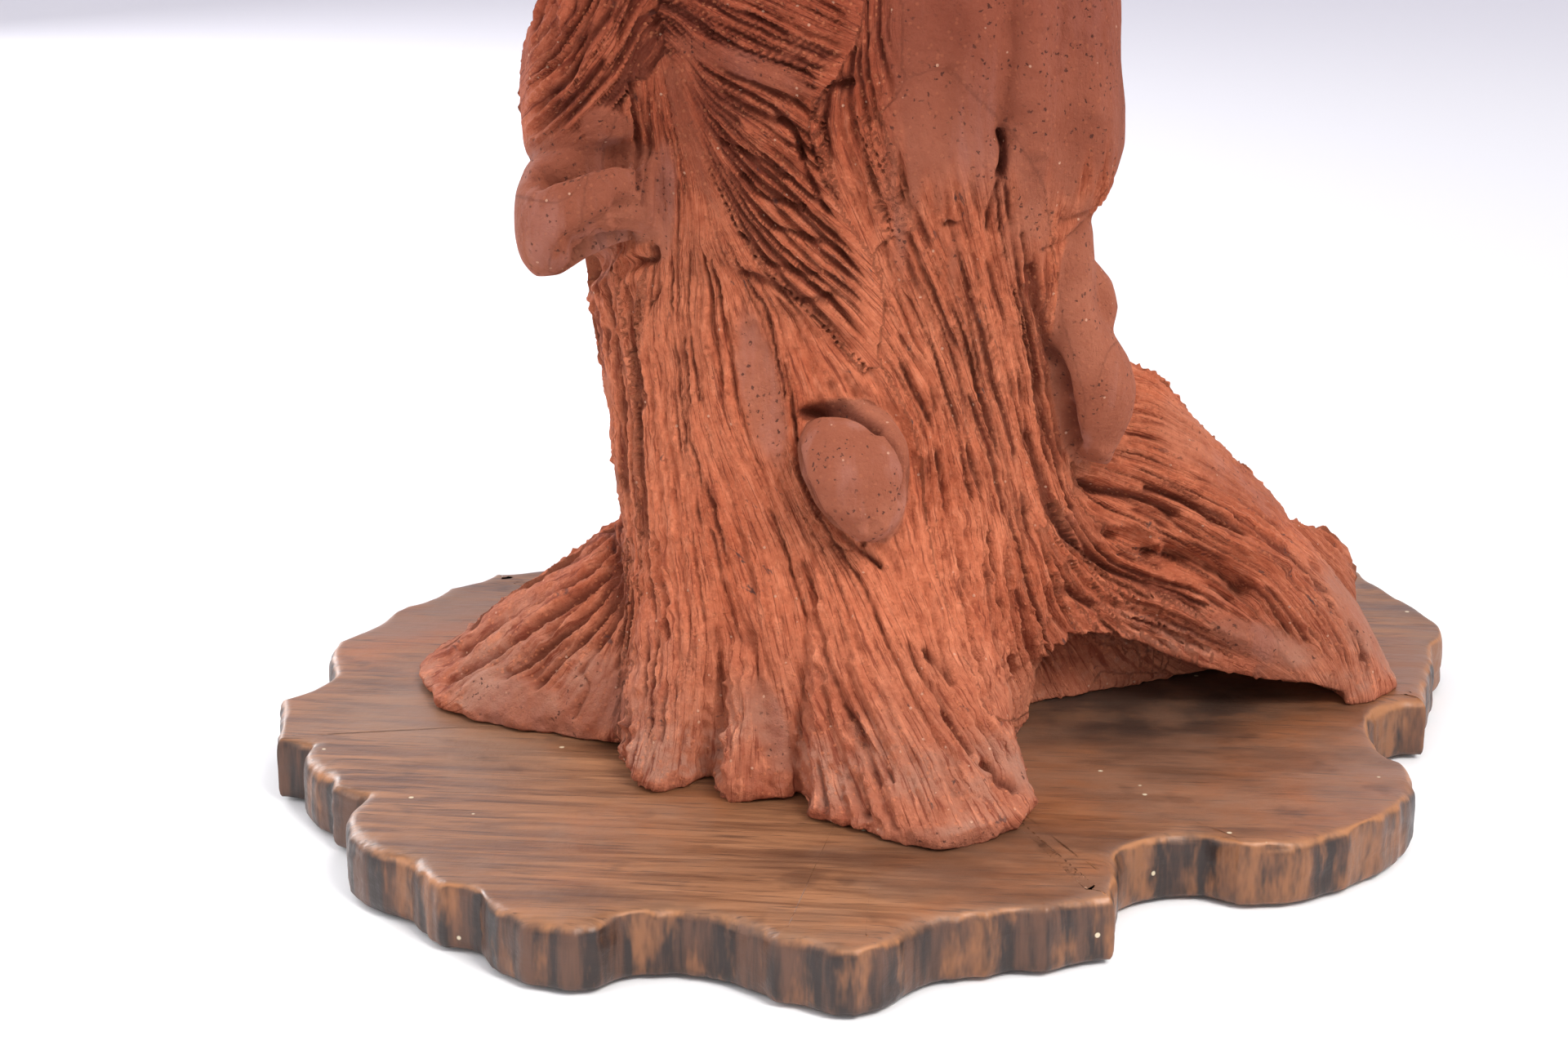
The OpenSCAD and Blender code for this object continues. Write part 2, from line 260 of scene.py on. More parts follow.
def root_object(name, rows, heading, drop=0.0):
    """A root through its stations; drop carries its foot below the board's top."""
    rings = []
    for row in resample_rows(rows, 3.0):
        ring = arch_ring(row, 40)
        if drop:
            ring = np.concatenate([ring[:1] - [0, 0, drop], ring, ring[-1:] - [0, 0, drop]])
        rings.append(turned(ring, heading))
    return loft_object(name, rings)


def apply_modifiers(obj):
    """The object's mesh with its modifiers applied, and the modifiers removed."""
    graph = bpy.context.evaluated_depsgraph_get()
    mesh = bpy.data.meshes.new_from_object(obj.evaluated_get(graph))
    obj.modifiers.clear()
    old, obj.data = obj.data, mesh
    bpy.data.meshes.remove(old)
    return obj


def subtract(obj, cutter):
    mod = obj.modifiers.new("cut", "BOOLEAN")
    mod.object, mod.operation, mod.solver = cutter, "DIFFERENCE", "EXACT"
    apply_modifiers(obj)
    bpy.data.objects.remove(cutter)
    return obj


def joined(name, objects):
    """One object that holds the meshes of several."""
    bm = bmesh.new()
    for obj in objects:
        bm.from_mesh(obj.data)
    mesh = bpy.data.meshes.new(name)
    bm.to_mesh(mesh)
    bm.free()
    for obj in objects:
        bpy.data.objects.remove(obj)
    return add_object(name, mesh)


def remesh(obj, voxel_mm):
    mod = obj.modifiers.new("remesh", "REMESH")
    mod.mode, mod.voxel_size = "VOXEL", voxel_mm * MM
    mod.adaptivity = 0.0
    return apply_modifiers(obj)


class Clay:
    """A mesh being sculpted: its points in mm above the board, normals and edges."""

    def __init__(self, obj):
        self.obj = obj
        mesh = obj.data
        self.count = len(mesh.vertices)
        self.points = self.read("co") / MM - [0, 0, BOARD_TOP]
        edges = np.empty(len(mesh.edges) * 2, dtype=np.int32)
        mesh.edges.foreach_get("vertices", edges)
        self.edges = edges.reshape(-1, 2)
        self.links = np.bincount(self.edges.ravel(), minlength=self.count)
        self.update_normals()

    def read(self, what):
        out = np.empty(self.count * 3, dtype=np.float32)
        self.obj.data.vertices.foreach_get(what, out)
        return out.reshape(-1, 3).astype(np.float64)

    def write(self):
        placed = ((self.points + [0, 0, BOARD_TOP]) * MM).astype(np.float32)
        self.obj.data.vertices.foreach_set("co", placed.ravel())
        self.obj.data.update()

    def update_normals(self):
        self.write()
        self.normals = self.read("normal")

    def averaged(self, values):
        """Each point's values as the mean of its neighbours'."""
        a, b = self.edges.T
        out = np.empty_like(values)
        for k in range(values.shape[1]):
            out[:, k] = (np.bincount(a, values[b, k], self.count)
                         + np.bincount(b, values[a, k], self.count))
        return out / np.maximum(self.links, 1)[:, None]

    def smooth(self, rounds):
        for _ in range(rounds):
            self.points += (self.averaged(self.points) - self.points) * 0.5
        self.update_normals()

    def smooth_normals(self, rounds):
        n = self.normals
        for _ in range(rounds):
            n = self.averaged(n)
        return n / np.maximum(np.linalg.norm(n, axis=1), 1e-9)[:, None]


# ---------------------------------------------------------------- smooth and bark forms

# Levels by height, with left, right, front and back limits
LOBE_ROWS = [
    (170, -104, -86, -10, 20), (174, -110, -76, -22, 30), (186, -114, -66, -38, 38),
    (206, -114, -62, -46, 40), (228, -110, -62, -46, 40), (244, -106, -62, -40, 34),
    (253, -96, -66, -24, 18),
]
DRAPE_ROWS = [
    (104, 26, 48, -30, -10), (120, 10, 50, -43, -4), (140, -8, 54, -50, 2),
    (160, -20, 57, -53, 6), (167, -24, 59, -54, 8), (172, -27, 64, -55, 11),
    (179, -32, 68, -57, 14), (188, -34, 70, -58, 15), (200, -36, 70, -58, 15),
    (214, -38, 68, -59, 16),
    (234, -38, 66, -59, 16), (248, -26, 62, -54, 10), (254, 10, 54, -42, -2),
]
TONGUE_ROWS = [
    (89, 59, 65, -24, -17), (94, 54, 70, -31, -10), (104, 51, 74, -37, -6),
    (114, 49, 75, -40, -4), (122, 47, 73, -41, -2), (131, 46, 67, -42, -2),
    (140, 44, 62, -43, -2), (156, 44, 61, -43, -3), (168, 46, 60, -40, -6),
    (173, 48, 56, -33, -11),
]
TONGUE_BUMP_ROWS = [
    (122, 57, 63, -26, -14), (128, 55, 67, -30, -8), (138, 54, 69, -30, -8),
    (146, 55, 67, -28, -10), (152, 57, 62, -24, -14),
]
KNOT_ROWS = [
    (76, -12, -4, -66, -58), (80, -19, 0, -70, -52), (87, -25, 3, -74, -48),
    (96, -29, 4, -74, -46), (104, -30, 3, -71, -45), (110, -27, -1, -66, -45),
    (114, -21, -9, -59, -47),
]
# Branch stub along the X axis: x, then its front, back, lower and upper limits
STUB_ROWS = [
    (-114, -38, -24, 160, 174), (-112, -47, -17, 154, 181), (-108, -52, -12, 150, 186),
    (-101, -55, -9, 151, 189), (-93, -55, -7, 156, 190), (-84, -54, -6, 160, 191),
    (-72, -46, -6, 162, 190),
]


def lying_ring(row):
    """A ring of a form that lies along X."""
    count = 60
    x, front, back, low, high = row
    cx, cy = squarish(np.linspace(0, 2 * np.pi, count, endpoint=False), 0.94)
    return np.stack([np.full(count, x), (front + back) / 2 + cx * (back - front) / 2,
                     (low + high) / 2 + cy * (high - low) / 2], axis=1)


def upright_object(name, rows, step=2.0):
    return loft_object(name, [level_ring(r, 60) for r in resample_rows(rows, step)])


SMOOTH_FORMS = {
    "drape": lambda: upright_object("drape_form", DRAPE_ROWS),
    "drape_tongue": lambda: joined("tongue_form", [upright_object("tongue_a", TONGUE_ROWS),
                                                   upright_object("tongue_b", TONGUE_BUMP_ROWS)]),
    "knot": lambda: upright_object("knot_form", KNOT_ROWS, step=1.5),
    "branch_stub": lambda: loft_object("stub_form", [lying_ring(r)
                                                     for r in resample_rows(STUB_ROWS, 1.5)]),
    "bark_lobe": lambda: upright_object("lobe_form", LOBE_ROWS),
}


FAR = 9.0


def form_tree(form):
    """A form's surface for distance queries, with its box, in mm above the board."""
    pts = np.array([v.co for v in form.data.vertices]) / MM - [0, 0, BOARD_TOP]
    tree = BVHTree.FromPolygons(pts.tolist(), [tuple(p.vertices) for p in form.data.polygons])
    return tree, pts.min(axis=0), pts.max(axis=0)


def form_distance(clay, tree, low, high):
    """How far each point of the clay is from one form's surface, up to FAR mm."""
    away = np.full(clay.count, FAR)
    near = np.all((clay.points > low - 3) & (clay.points < high + 3), axis=1)
    for v in np.nonzero(near)[0]:
        away[v] = min(FAR, tree.find_nearest(tuple(clay.points[v]))[3])
    return away


def make_main_clay():
    """The clay's whole shape as one even mesh, before any carving."""
    trunk = loft_object("trunk_base", trunk_rings())
    right = root_object("right_base", RIGHT_ROOT_ROWS, 0)
    right_back = root_object("right_back_base", RIGHT_BACK_ROWS, 22)
    subtract(right, root_object("cave", RIGHT_CAVE_ROWS, 0, drop=6.0))
    forms = {name: make() for name, make in SMOOTH_FORMS.items()}
    trees = {name: form_tree(form) for name, form in forms.items()}
    trees["right_back_root"] = form_tree(right_back)
    clay = joined("clay_stump", [trunk, right, right_back] + list(forms.values()))
    remesh(clay, VOXEL)
    clay = Clay(clay)
    clay.smooth(10)
    clay.away = {name: form_distance(clay, *tree) for name, tree in trees.items()}
    return clay


# ---------------------------------------------------------------- combed grooves

# A front drawing of the clay, laid out as seen from 16.5 degrees above: a is the
# distance to the right, b the height plus VIEW_SLOPE times the distance back. Each
# band is a run of guide lines; the comb's grooves follow them and lie between them.
TRUNK_SIDE = [(-86, 139), (-84, 125), (-82, 112), (-80, 94), (-80, 73), (-79, 60), (-78, 47),
              (-78, 31), (-80, 12), (-82, -5), (-88, -25)]
BANDS = {
    "left_edge": [
        [(-94, 142), (-91, 126), (-89, 113), (-87, 100), (-86, 84), (-85, 71), (-84, 60)],
        TRUNK_SIDE,
    ],
    "trunk": [
        TRUNK_SIDE,
        [(-79, 197), (-78, 183), (-77, 166), (-75, 151), (-77, 140), (-80, 130), (-81, 117),
         (-78, 99), (-77, 78), (-76, 63), (-74, 47), (-71, 29), (-72, 8), (-73, -10), (-79, -32)],
        [(-72, 195), (-70, 174), (-70, 154), (-70, 137), (-70, 124), (-68, 109), (-66, 91),
         (-64, 73), (-62, 57), (-60, 42), (-58, 26), (-58, 9), (-59, -9), (-61, -26)],
        [(-69, 200), (-65, 180), (-63, 161), (-64, 142), (-64, 124), (-63, 109), (-61, 94),
         (-58, 78), (-54, 63), (-49, 45), (-45, 29), (-42, 11), (-42, -6), (-42, -26)],
        [(-67, 198), (-64, 183), (-60, 166), (-59, 149), (-58, 134), (-59, 121), (-57, 111),
         (-55, 101), (-51, 88), (-45, 75), (-40, 63), (-35, 50), (-31, 34), (-28, 17),
         (-23, -1), (-18, -17), (-11, -46)],
        [(-66, 198), (-62, 181), (-57, 164), (-53, 149), (-48, 136), (-45, 124), (-42, 111),
         (-40, 98), (-36, 83), (-31, 70), (-25, 57), (-20, 45), (-15, 30), (-10, 15),
         (-3, 0), (4, -16), (11, -36)],
        [(-65, 196), (-60, 179), (-55, 164), (-49, 151), (-42, 137), (-36, 125), (-34, 114),
         (-32, 103), (-31, 93), (-29, 83), (-25, 70), (-18, 59), (-9, 47), (-3, 35),
         (3, 22), (9, 8), (19, -7), (31, -27)],
        [(-64, 195), (-58, 178), (-52, 164), (-46, 152), (-37, 140), (-26, 129), (-17, 119),
         (-8, 109), (-2, 98), (3, 86), (6, 73), (7, 60), (9, 47), (13, 35), (16, 22),
         (22, 10), (30, -3), (38, -22)],
    ],
    "swirl": [
        [(-64, 195), (-58, 178), (-52, 164), (-46, 152), (-37, 140), (-26, 129), (-17, 119),
         (-9, 110)],
        [(-63, 194), (-56, 179), (-50, 168), (-43, 157), (-35, 148), (-24, 139), (-14, 131),
         (-7, 123)],
        [(-62, 197), (-55, 183), (-48, 174), (-40, 165), (-30, 157), (-22, 149), (-14, 142),
         (-7, 135)],
        [(-62, 201), (-55, 190), (-47, 182), (-39, 175), (-32, 169), (-25, 163), (-17, 157)],
        [(-63, 206), (-55, 197), (-47, 192), (-38, 187), (-31, 181), (-25, 176), (-20, 172)],
        [(-65, 214), (-57, 207), (-49, 202), (-40, 198), (-30, 193), (-23, 189)],
        [(-66, 220), (-57, 215), (-49, 210), (-40, 205), (-30, 201), (-19, 196)],
        [(-60, 226), (-53, 221), (-46, 217), (-37, 213), (-29, 209), (-20, 205), (-14, 203)],
        [(-53, 236), (-47, 231), (-40, 227), (-33, 223), (-26, 220), (-18, 216), (-12, 213)],
        [(-50, 250), (-44, 246), (-38, 243), (-31, 240), (-24, 237), (-18, 234)],
    ],
    "middle": [
        [(-25, 190), (-26, 180), (-23, 169), (-18, 160)],
        [(-19, 196), (-20, 183), (-17, 171), (-12, 159), (-7, 148)],
        [(-13, 206), (-14, 190), (-11, 176), (-6, 162), (-1, 150)],
        [(-9, 215), (-9, 200), (-6, 184), (-1, 168), (4, 152)],
    ],
    "right": [
        [(-3, 116), (1, 110), (8, 96), (11, 83), (12, 70), (14, 55), (16, 42),
         (20, 29), (23, 17), (28, 4)],
        [(-1, 130), (4, 121), (12, 109), (17, 93), (21, 81),
         (24, 68), (27, 55), (30, 39), (32, 24), (35, 6)],
        [(-15, 189), (-10, 172), (-4, 158), (4, 142), (11, 127), (17, 114), (22, 99),
         (27, 85), (31, 70), (35, 55), (38, 39), (41, 23), (46, 8)],
        [(-2, 184), (3, 169), (8, 154), (14, 141), (19, 128), (23, 115), (27, 101),
         (32, 86), (36, 70), (39, 57), (43, 44), (48, 28), (59, 7)],
        [(10, 189), (15, 172), (18, 158), (22, 144), (26, 129), (29, 117), (33, 101),
         (37, 86), (41, 70), (46, 60), (50, 49), (55, 37), (65, 20)],
        [(25, 175), (27, 161), (30, 149), (33, 137), (36, 124), (39, 112), (42, 99),
         (46, 83), (51, 69), (58, 57), (66, 48), (79, 40), (93, 35), (109, 25), (122, 17)],
        [(34, 161), (37, 149), (39, 137), (41, 125), (45, 112), (49, 99), (53, 86),
         (57, 73), (63, 63), (70, 54), (82, 48), (92, 45), (106, 39), (116, 32), (125, 24)],
    ],
    "right_under": [
        [(46, 60), (50, 49), (55, 37), (65, 22)],
        [(48, 59), (55, 48), (64, 37), (74, 32), (87, 28), (101, 23), (119, 15)],
        [(51, 69), (58, 57), (66, 48), (79, 40), (93, 35), (109, 25), (128, 12)],
    ],
    "right_root": [
        [(58, 73), (66, 64), (79, 58), (92, 53), (106, 46), (116, 38), (125, 27), (133, 16)],
        [(60, 76), (73, 71), (87, 65), (100, 57), (114, 49), (125, 42), (136, 29), (146, 13)],
        [(61, 80), (74, 76), (88, 70), (102, 63), (115, 55), (128, 47), (140, 35),
         (149, 21), (154, 5)],
        [(60, 84), (76, 80), (89, 75), (103, 68), (117, 60), (131, 51), (144, 40),
         (155, 25), (159, 6)],
        [(63, 90), (79, 87), (92, 82), (106, 76), (121, 68), (136, 57), (149, 44),
         (161, 29), (167, 10)],
        [(68, 99), (84, 97), (97, 91), (110, 83), (124, 74), (140, 63), (153, 50),
         (166, 37), (174, 18)],
        [(72, 112), (87, 109), (97, 102), (112, 93), (126, 81), (141, 71), (155, 59),
         (168, 46), (178, 30)],
    ],
    "left_fan": [
        [(-89, 66), (-93, 56), (-103, 48), (-117, 42), (-131, 33), (-143, 24), (-156, 15)],
        [(-87, 61), (-90, 50), (-100, 40), (-113, 32), (-127, 22), (-138, 14), (-149, 5)],
        [(-86, 60), (-88, 48), (-96, 35), (-105, 27), (-116, 18), (-128, 8), (-140, -2)],
        [(-85, 58), (-87, 45), (-91, 33), (-98, 23), (-106, 14), (-117, 4), (-128, -7)],
        [(-83, 57), (-84, 42), (-86, 29), (-90, 17), (-95, 6), (-101, -2), (-110, -14)],
        [(-82, 55), (-82, 37), (-83, 20), (-84, 4), (-86, -14)],
    ],
    "lobe": [
        [(-92, 250), (-98, 236), (-104, 222), (-110, 210)],
        [(-86, 246), (-92, 232), (-99, 216), (-104, 210), (-112, 203)],
        [(-83, 236), (-89, 221), (-96, 210), (-102, 203), (-113, 196)],
        [(-78, 226), (-84, 213), (-91, 203), (-98, 194), (-113, 186)],
        [(-75, 217), (-80, 208), (-87, 199), (-95, 190), (-105, 183), (-114, 178)],
        [(-74, 210), (-79, 201), (-84, 194), (-93, 186), (-100, 180), (-112, 173)],
        [(-74, 204), (-79, 196), (-84, 190), (-90, 184), (-96, 180), (-102, 169)],
    ],
}

# Comb by band: grooves between guides, depth in mm, share of a groove's pitch that
# is cut away, how much each groove breaks off, how ragged its sides are
COMB = {
    "left_edge": (3.0, 2.0, 0.30, 0.2, 0.8), "trunk": (3.2, 1.7, 0.23, 0.45, 1.0),
    "swirl": (2.7, 3.4, 0.27, 0.15, 0.35), "right": (2.4, 2.4, 0.27, 0.32, 0.8),
    "middle": (1.8, 2.4, 0.30, 0.4, 1.1), "right_under": (2.2, 2.2, 0.30, 0.25, 0.7),
    "right_root": (3.2, 1.6, 0.26, 0.42, 0.6), "left_fan": (1.5, 2.6, 0.30, 0.1, 0.4),
    "lobe": (1.5, 4.2, 0.30, 0.1, 0.5),
}
BAND_NAMES = list(BANDS)
STREAK_PITCH = 2.6

# Places the comb passed lightly: a, b, half-widths along and across, tilt in degrees,
# how much of the grooves is left
SMOOTH_PLACES = [
    (-41, 104, 24, 6, -78, 0.1), (-46, 201, 22, 4, -22, 0.25), (-70, 162, 18, 4, 88, 0.15),
    (-13, 78, 16, 9, -70, 0.0), (34, 204, 38, 30, 0, 0.0), (24, 176, 20, 12, 0, 0.4),
    (61, 115, 28, 7, -70, 0.0), (-118, -2, 24, 11, -28, 0.1), (-92, 6, 12, 12, 0, 0.3),
    (16, -33, 20, 5, 0, 0.35), (-38, 0, 17, 5, -70, 0.1), (122, 22, 20, 6, -20, 0.1),
    (158, 30, 20, 7, -60, 0.15), (112, 84, 32, 12, -30, 0.45), (60, 60, 8, 6, 0, 0.6),
    (-100, 165, 22, 18, 0, 0.0), (-86, 184, 8, 6, 0, 0.1), (40, -14, 8, 8, 0, 0.3),
]

# Single cuts in the front drawing: width and depth in mm, then the line
CUTS = [
    (1.0, 7.0, [(-36, 185), (-33, 183), (-31, 181), (-29.5, 177), (-28, 172)]),
    (0.7, 3.0, [(-28, 172), (-26, 167), (-23, 161), (-20, 157)]),
    (0.7, 3.0, [(-53, 179), (-47, 176), (-38.5, 171), (-35, 168), (-31, 167)]),
    (0.9, 3.0, [(-47, 169), (-40, 162), (-34, 160), (-27, 158)]),
    (0.9, 3.0, [(-41, 157), (-36, 153), (-28, 150), (-22, 148)]),
    (0.9, 2.5, [(-47, 152), (-41, 146), (-36, 142), (-24, 139)]),
    (1.3, 3.0, [(-47, 141), (-41, 139), (-35, 135.5), (-28, 132), (-19, 133)]),
    (1.2, 8.0, [(29, 181), (30, 177), (30, 172), (29, 167)]),
    (0.8, 2.4, [(29, 167), (27, 160), (25.5, 151)]),
    (0.5, 1.4, [(70, 168), (62, 162), (54, 157), (46, 152)]),
    (0.7, 1.6, [(-20, 56), (-13, 54), (-8, 58)]),
    (0.7, 2.5, [(12.5, 152.7), (17.5, 153.2)]),
    (1.4, 5.0, [(-19, 194), (-14.5, 195)]),
    (0.45, 1.6, [(-71, 137), (-73, 133), (-76, 130.5)]),
    (1.7, 8.0, [(-29.5, 95.5), (-23, 98.4), (-16, 98.4), (-9, 95.6), (-4, 91.5)]),
    (0.9, 3.0, [(-4, 91.5), (0.5, 85), (3, 77), (1, 69)]),
    (0.9, 2.6, [(-34, 112), (-33, 107), (-31.5, 101), (-31, 93), (-29.5, 83), (-26.5, 73),
                (-21.5, 64), (-14, 56), (-4.5, 49)]),
    (1.0, 2.8, [(37, 151), (39, 141), (39, 129.5), (41, 119.5), (43.5, 110.5), (46, 99),
                (49.5, 89), (53, 78)]),
    (1.2, 3.0, [(42, 91), (45, 81), (48.5, 72), (52.5, 62.5), (58.5, 55.5), (68, 48.5),
                (80.5, 43), (92.5, 38.5), (103, 34)]),
    (1.2, 3.0, [(-90, 62), (-98, 54), (-112, 46), (-128, 37), (-142, 27)]),
    (1.2, 3.2, [(-89, 58), (-96, 48), (-110, 39), (-126, 30), (-143, 19)]),
    (1.2, 3.2, [(-88, 56), (-93, 45), (-104, 36), (-118, 27), (-133, 16), (-146, 8)]),
    (1.1, 3.0, [(-87, 54), (-90, 42), (-99, 31), (-111, 21), (-124, 11)]),
    (1.1, 2.8, [(-87, 50), (-90, 37), (-96, 26), (-105, 16), (-114, 7)]),
    (1.0, 2.4, [(-86, 47), (-88, 34), (-93, 22), (-99, 12)]),
    (0.9, 2.2, [(-84, 42), (-85, 28), (-87, 14)]),
    (0.9, 2.2, [(2.5, 26), (6, 18.5), (12, 10), (14.5, 4.5)]),
    (1.0, 3.0, [(13, 6), (17, -0.5), (22.5, -7.5)]),
    (1.3, 3.6, [(24.5, -9.5), (29.5, -14.5), (35.5, -19.5)]),
    (1.0, 2.6, [(7.5, 24.5), (12, 19), (17, 12.5)]),
    (0.7, 1.6, [(-17, 7), (-12, 1), (-6.5, -9.5), (-2, -16)]),
    (0.7, 1.6, [(-15, -6.5), (-12, -14.5), (-10, -23), (-11, -26.5)]),
    (1.5, 5.0, [(60, 76.5), (66, 73.5), (76, 72), (84, 69.5), (92, 65)]),
    (1.1, 4.0, [(81, 74), (95, 69.5), (103, 64), (115.5, 58.5)]),
    (0.9, 2.2, [(103, 66.5), (117, 60), (131.5, 51.5), (140.5, 44), (146, 34)]),
    (0.9, 3.2, [(153, 29), (156.5, 22), (157, 15)]),
    (1.8, 3.5, [(39.5, 142), (42, 129.5), (47.5, 117), (51, 107), (53.5, 94), (56.5, 86)]),
    (0.45, 1.2, [(42.5, 146), (49.5, 149.5), (57.5, 158)]),
    (1.0, 2.8, [(-78, 197), (-77, 183.5), (-76.5, 174), (-75.5, 164)]),
    (0.8, 2.2, [(-74, 186), (-74, 174), (-74, 159)]),
    (1.2, 2.6, [(-83, 138), (-81.5, 125), (-80, 112), (-79, 99), (-78.5, 83.5), (-78, 68),
                (-77, 57)]),
    (1.0, 2.2, [(-89, 136), (-88, 125.5), (-85.5, 112.5), (-84, 94.5), (-83.5, 73.5), (-82, 61)]),
    (1.2, 2.6, [(54, 40.5), (61, 37), (66.5, 34)]),
    (0.6, 1.4, [(-97, 12), (-96, 7.5), (-99.5, 0.5), (-101, -2.5)]),
    (1.2, 3.0, [(-73, 149), (-73.5, 144.5), (-80.5, 144)]),
]

# Wider hollows, in the same form
HOLLOWS = [
    (2.8, 13.0, [(-108, 168), (-100, 170.5), (-92, 173.5), (-84, 176), (-78, 176)]),
    (5.0, 5.5, [(-98, 145), (-90, 149), (-82, 155), (-78, 163)]),
    (3.4, 11.0, [(88, 52), (100, 49), (109.5, 44.5), (118, 38)]),
    (1.6, 5.0, [(69, 58), (73.5, 59.5)]),
    (2.0, 6.0, [(81.5, 51.5), (87, 54)]),
    (2.2, 5.0, [(88, 49), (97.5, 45.5), (108.5, 38.5), (111.5, 34.5)]),
    (3.0, 3.0, [(31, 222), (31, 206), (30, 190), (29, 176)]),
    (2.2, 1.6, [(46, 226), (46, 210), (45, 196)]),
    (2.6, 1.8, [(14, 200), (13, 188), (10, 176)]),
    (5.5, 2.8, [(-47, 124), (-41, 111), (-37.5, 98.5), (-35.5, 85.5)]),
    (3.6, 3.6, [(-47, 29), (-43.5, 16.5), (-40, 1.5), (-36, -11)]),
    (5.0, 4.0, [(119, 33.5), (130, 25.5), (138.5, 18.5)]),
    (3.0, 4.0, [(-87, 143.5), (-80.5, 143.5), (-76.5, 144.5)]),
]

# Raised ridges, in the same form
RIDGES = [
    (6.0, 3.4, [(-58, 155), (-47, 145), (-36, 139), (-21.5, 131), (-9.5, 122)]),
    (2.2, 1.6, [(-32.5, 92), (-30.5, 82), (-27.5, 73), (-22, 63)]),
    (2.2, 1.6, [(-50.5, 24), (-45.5, 9), (-41.5, -9)]),
    (3.0, 2.2, [(-78, 46.5), (-78, 31), (-80.5, 12.5), (-82.5, -5)]),
    (2.6, 3.8, [(62, 80), (76, 74), (89.5, 68.5), (103, 61), (116.5, 53), (131, 46)]),
    (2.2, 1.8, [(62, 85), (81, 79), (95, 72), (111.5, 64)]),
    (3.0, 2.4, [(53, 52), (68, 40.5), (87, 36.5), (103, 29), (116.5, 21.5)]),
    (2.2, 1.8, [(26.5, 119), (25.5, 111.5), (28, 98.5), (30, 83.5), (35, 78)]),
    (2.2, 5.0, [(64.5, 63), (77.5, 62), (84, 59), (86, 55)]),
    (4.0, 2.0, [(-62, 212), (-48, 203.5), (-36, 197), (-24, 192)]),
    (2.0, 2.4, [(66, 57), (74.5, 54), (81.5, 49)]),
    (2.4, 1.8, [(44, 38), (49, 24), (56, 10)]),
    (4.0, 2.2, [(38, 224), (38, 205), (39, 188), (40, 172)]),
    (5.0, 1.8, [(56, 226), (57, 205), (56, 184)]),
    (2.4, 2.2, [(-12, 62), (-8, 59), (-4, 64)]),
    (5.0, 2.5, [(2, 62), (8, 44), (16, 24), (24, 8)]),
    (4.5, 2.2, [(-26, 60), (-16, 36), (-8, 12), (-2, -6)]),
    (4.0, 2.0, [(20, 150), (26, 122), (33, 96), (42, 66)]),
]


def smooth_line(points, count):
    """Even samples along a line that curves through the points."""
    p = np.array(points, dtype=float)
    p = np.concatenate([[2 * p[0] - p[1]], p, [2 * p[-1] - p[-2]]])
    out = []
    for i in range(1, len(p) - 2):
        t = np.linspace(0, 1, 12, endpoint=False)[:, None]
        a, b, c, d = p[i - 1], p[i], p[i + 1], p[i + 2]
        out.append(0.5 * (2 * b + (c - a) * t + (2 * a - 5 * b + 4 * c - d) * t ** 2
                          + (3 * b - a - 3 * c + d) * t ** 3))
    out = np.concatenate(out + [p[-2:-1]])
    length = np.concatenate([[0], np.cumsum(np.linalg.norm(np.diff(out, axis=0), axis=1))])
    at = np.linspace(0, length[-1], count)
    return np.stack([np.interp(at, length, out[:, k]) for k in (0, 1)], axis=1), length[-1]


def band_samples(guides):
    """Over one band of guides: places, how they shift across and along the band, the
    position across in guides, the distance along, and the band's length."""
    per_gap, along = 10, 110
    lines, lengths = zip(*[smooth_line(g, along) for g in guides])
    grid = np.array(lines)
    t = np.linspace(0, len(guides) - 1, (len(guides) - 1) * per_gap + 1)
    low = np.minimum(t.astype(int), len(guides) - 2)
    share = (t - low)[:, None, None]
    place = grid[low] * (1 - share) + grid[low + 1] * share
    size = float(np.mean(lengths))
    s = np.linspace(0, size, along)
    d_t = np.gradient(place, t, axis=0)
    d_s = np.gradient(place, s, axis=1)
    tt, ss = np.meshgrid(t, s, indexing="ij")
    return [x.reshape(-1, 2) for x in (place, d_t, d_s)] + [
        tt.ravel(), ss.ravel(), np.full(tt.size, size)]


def front_sheet(points):
    """Each point's place in the front drawing."""
    return np.stack([points[:, 0], points[:, 2] + VIEW_SLOPE * points[:, 1]], axis=1)


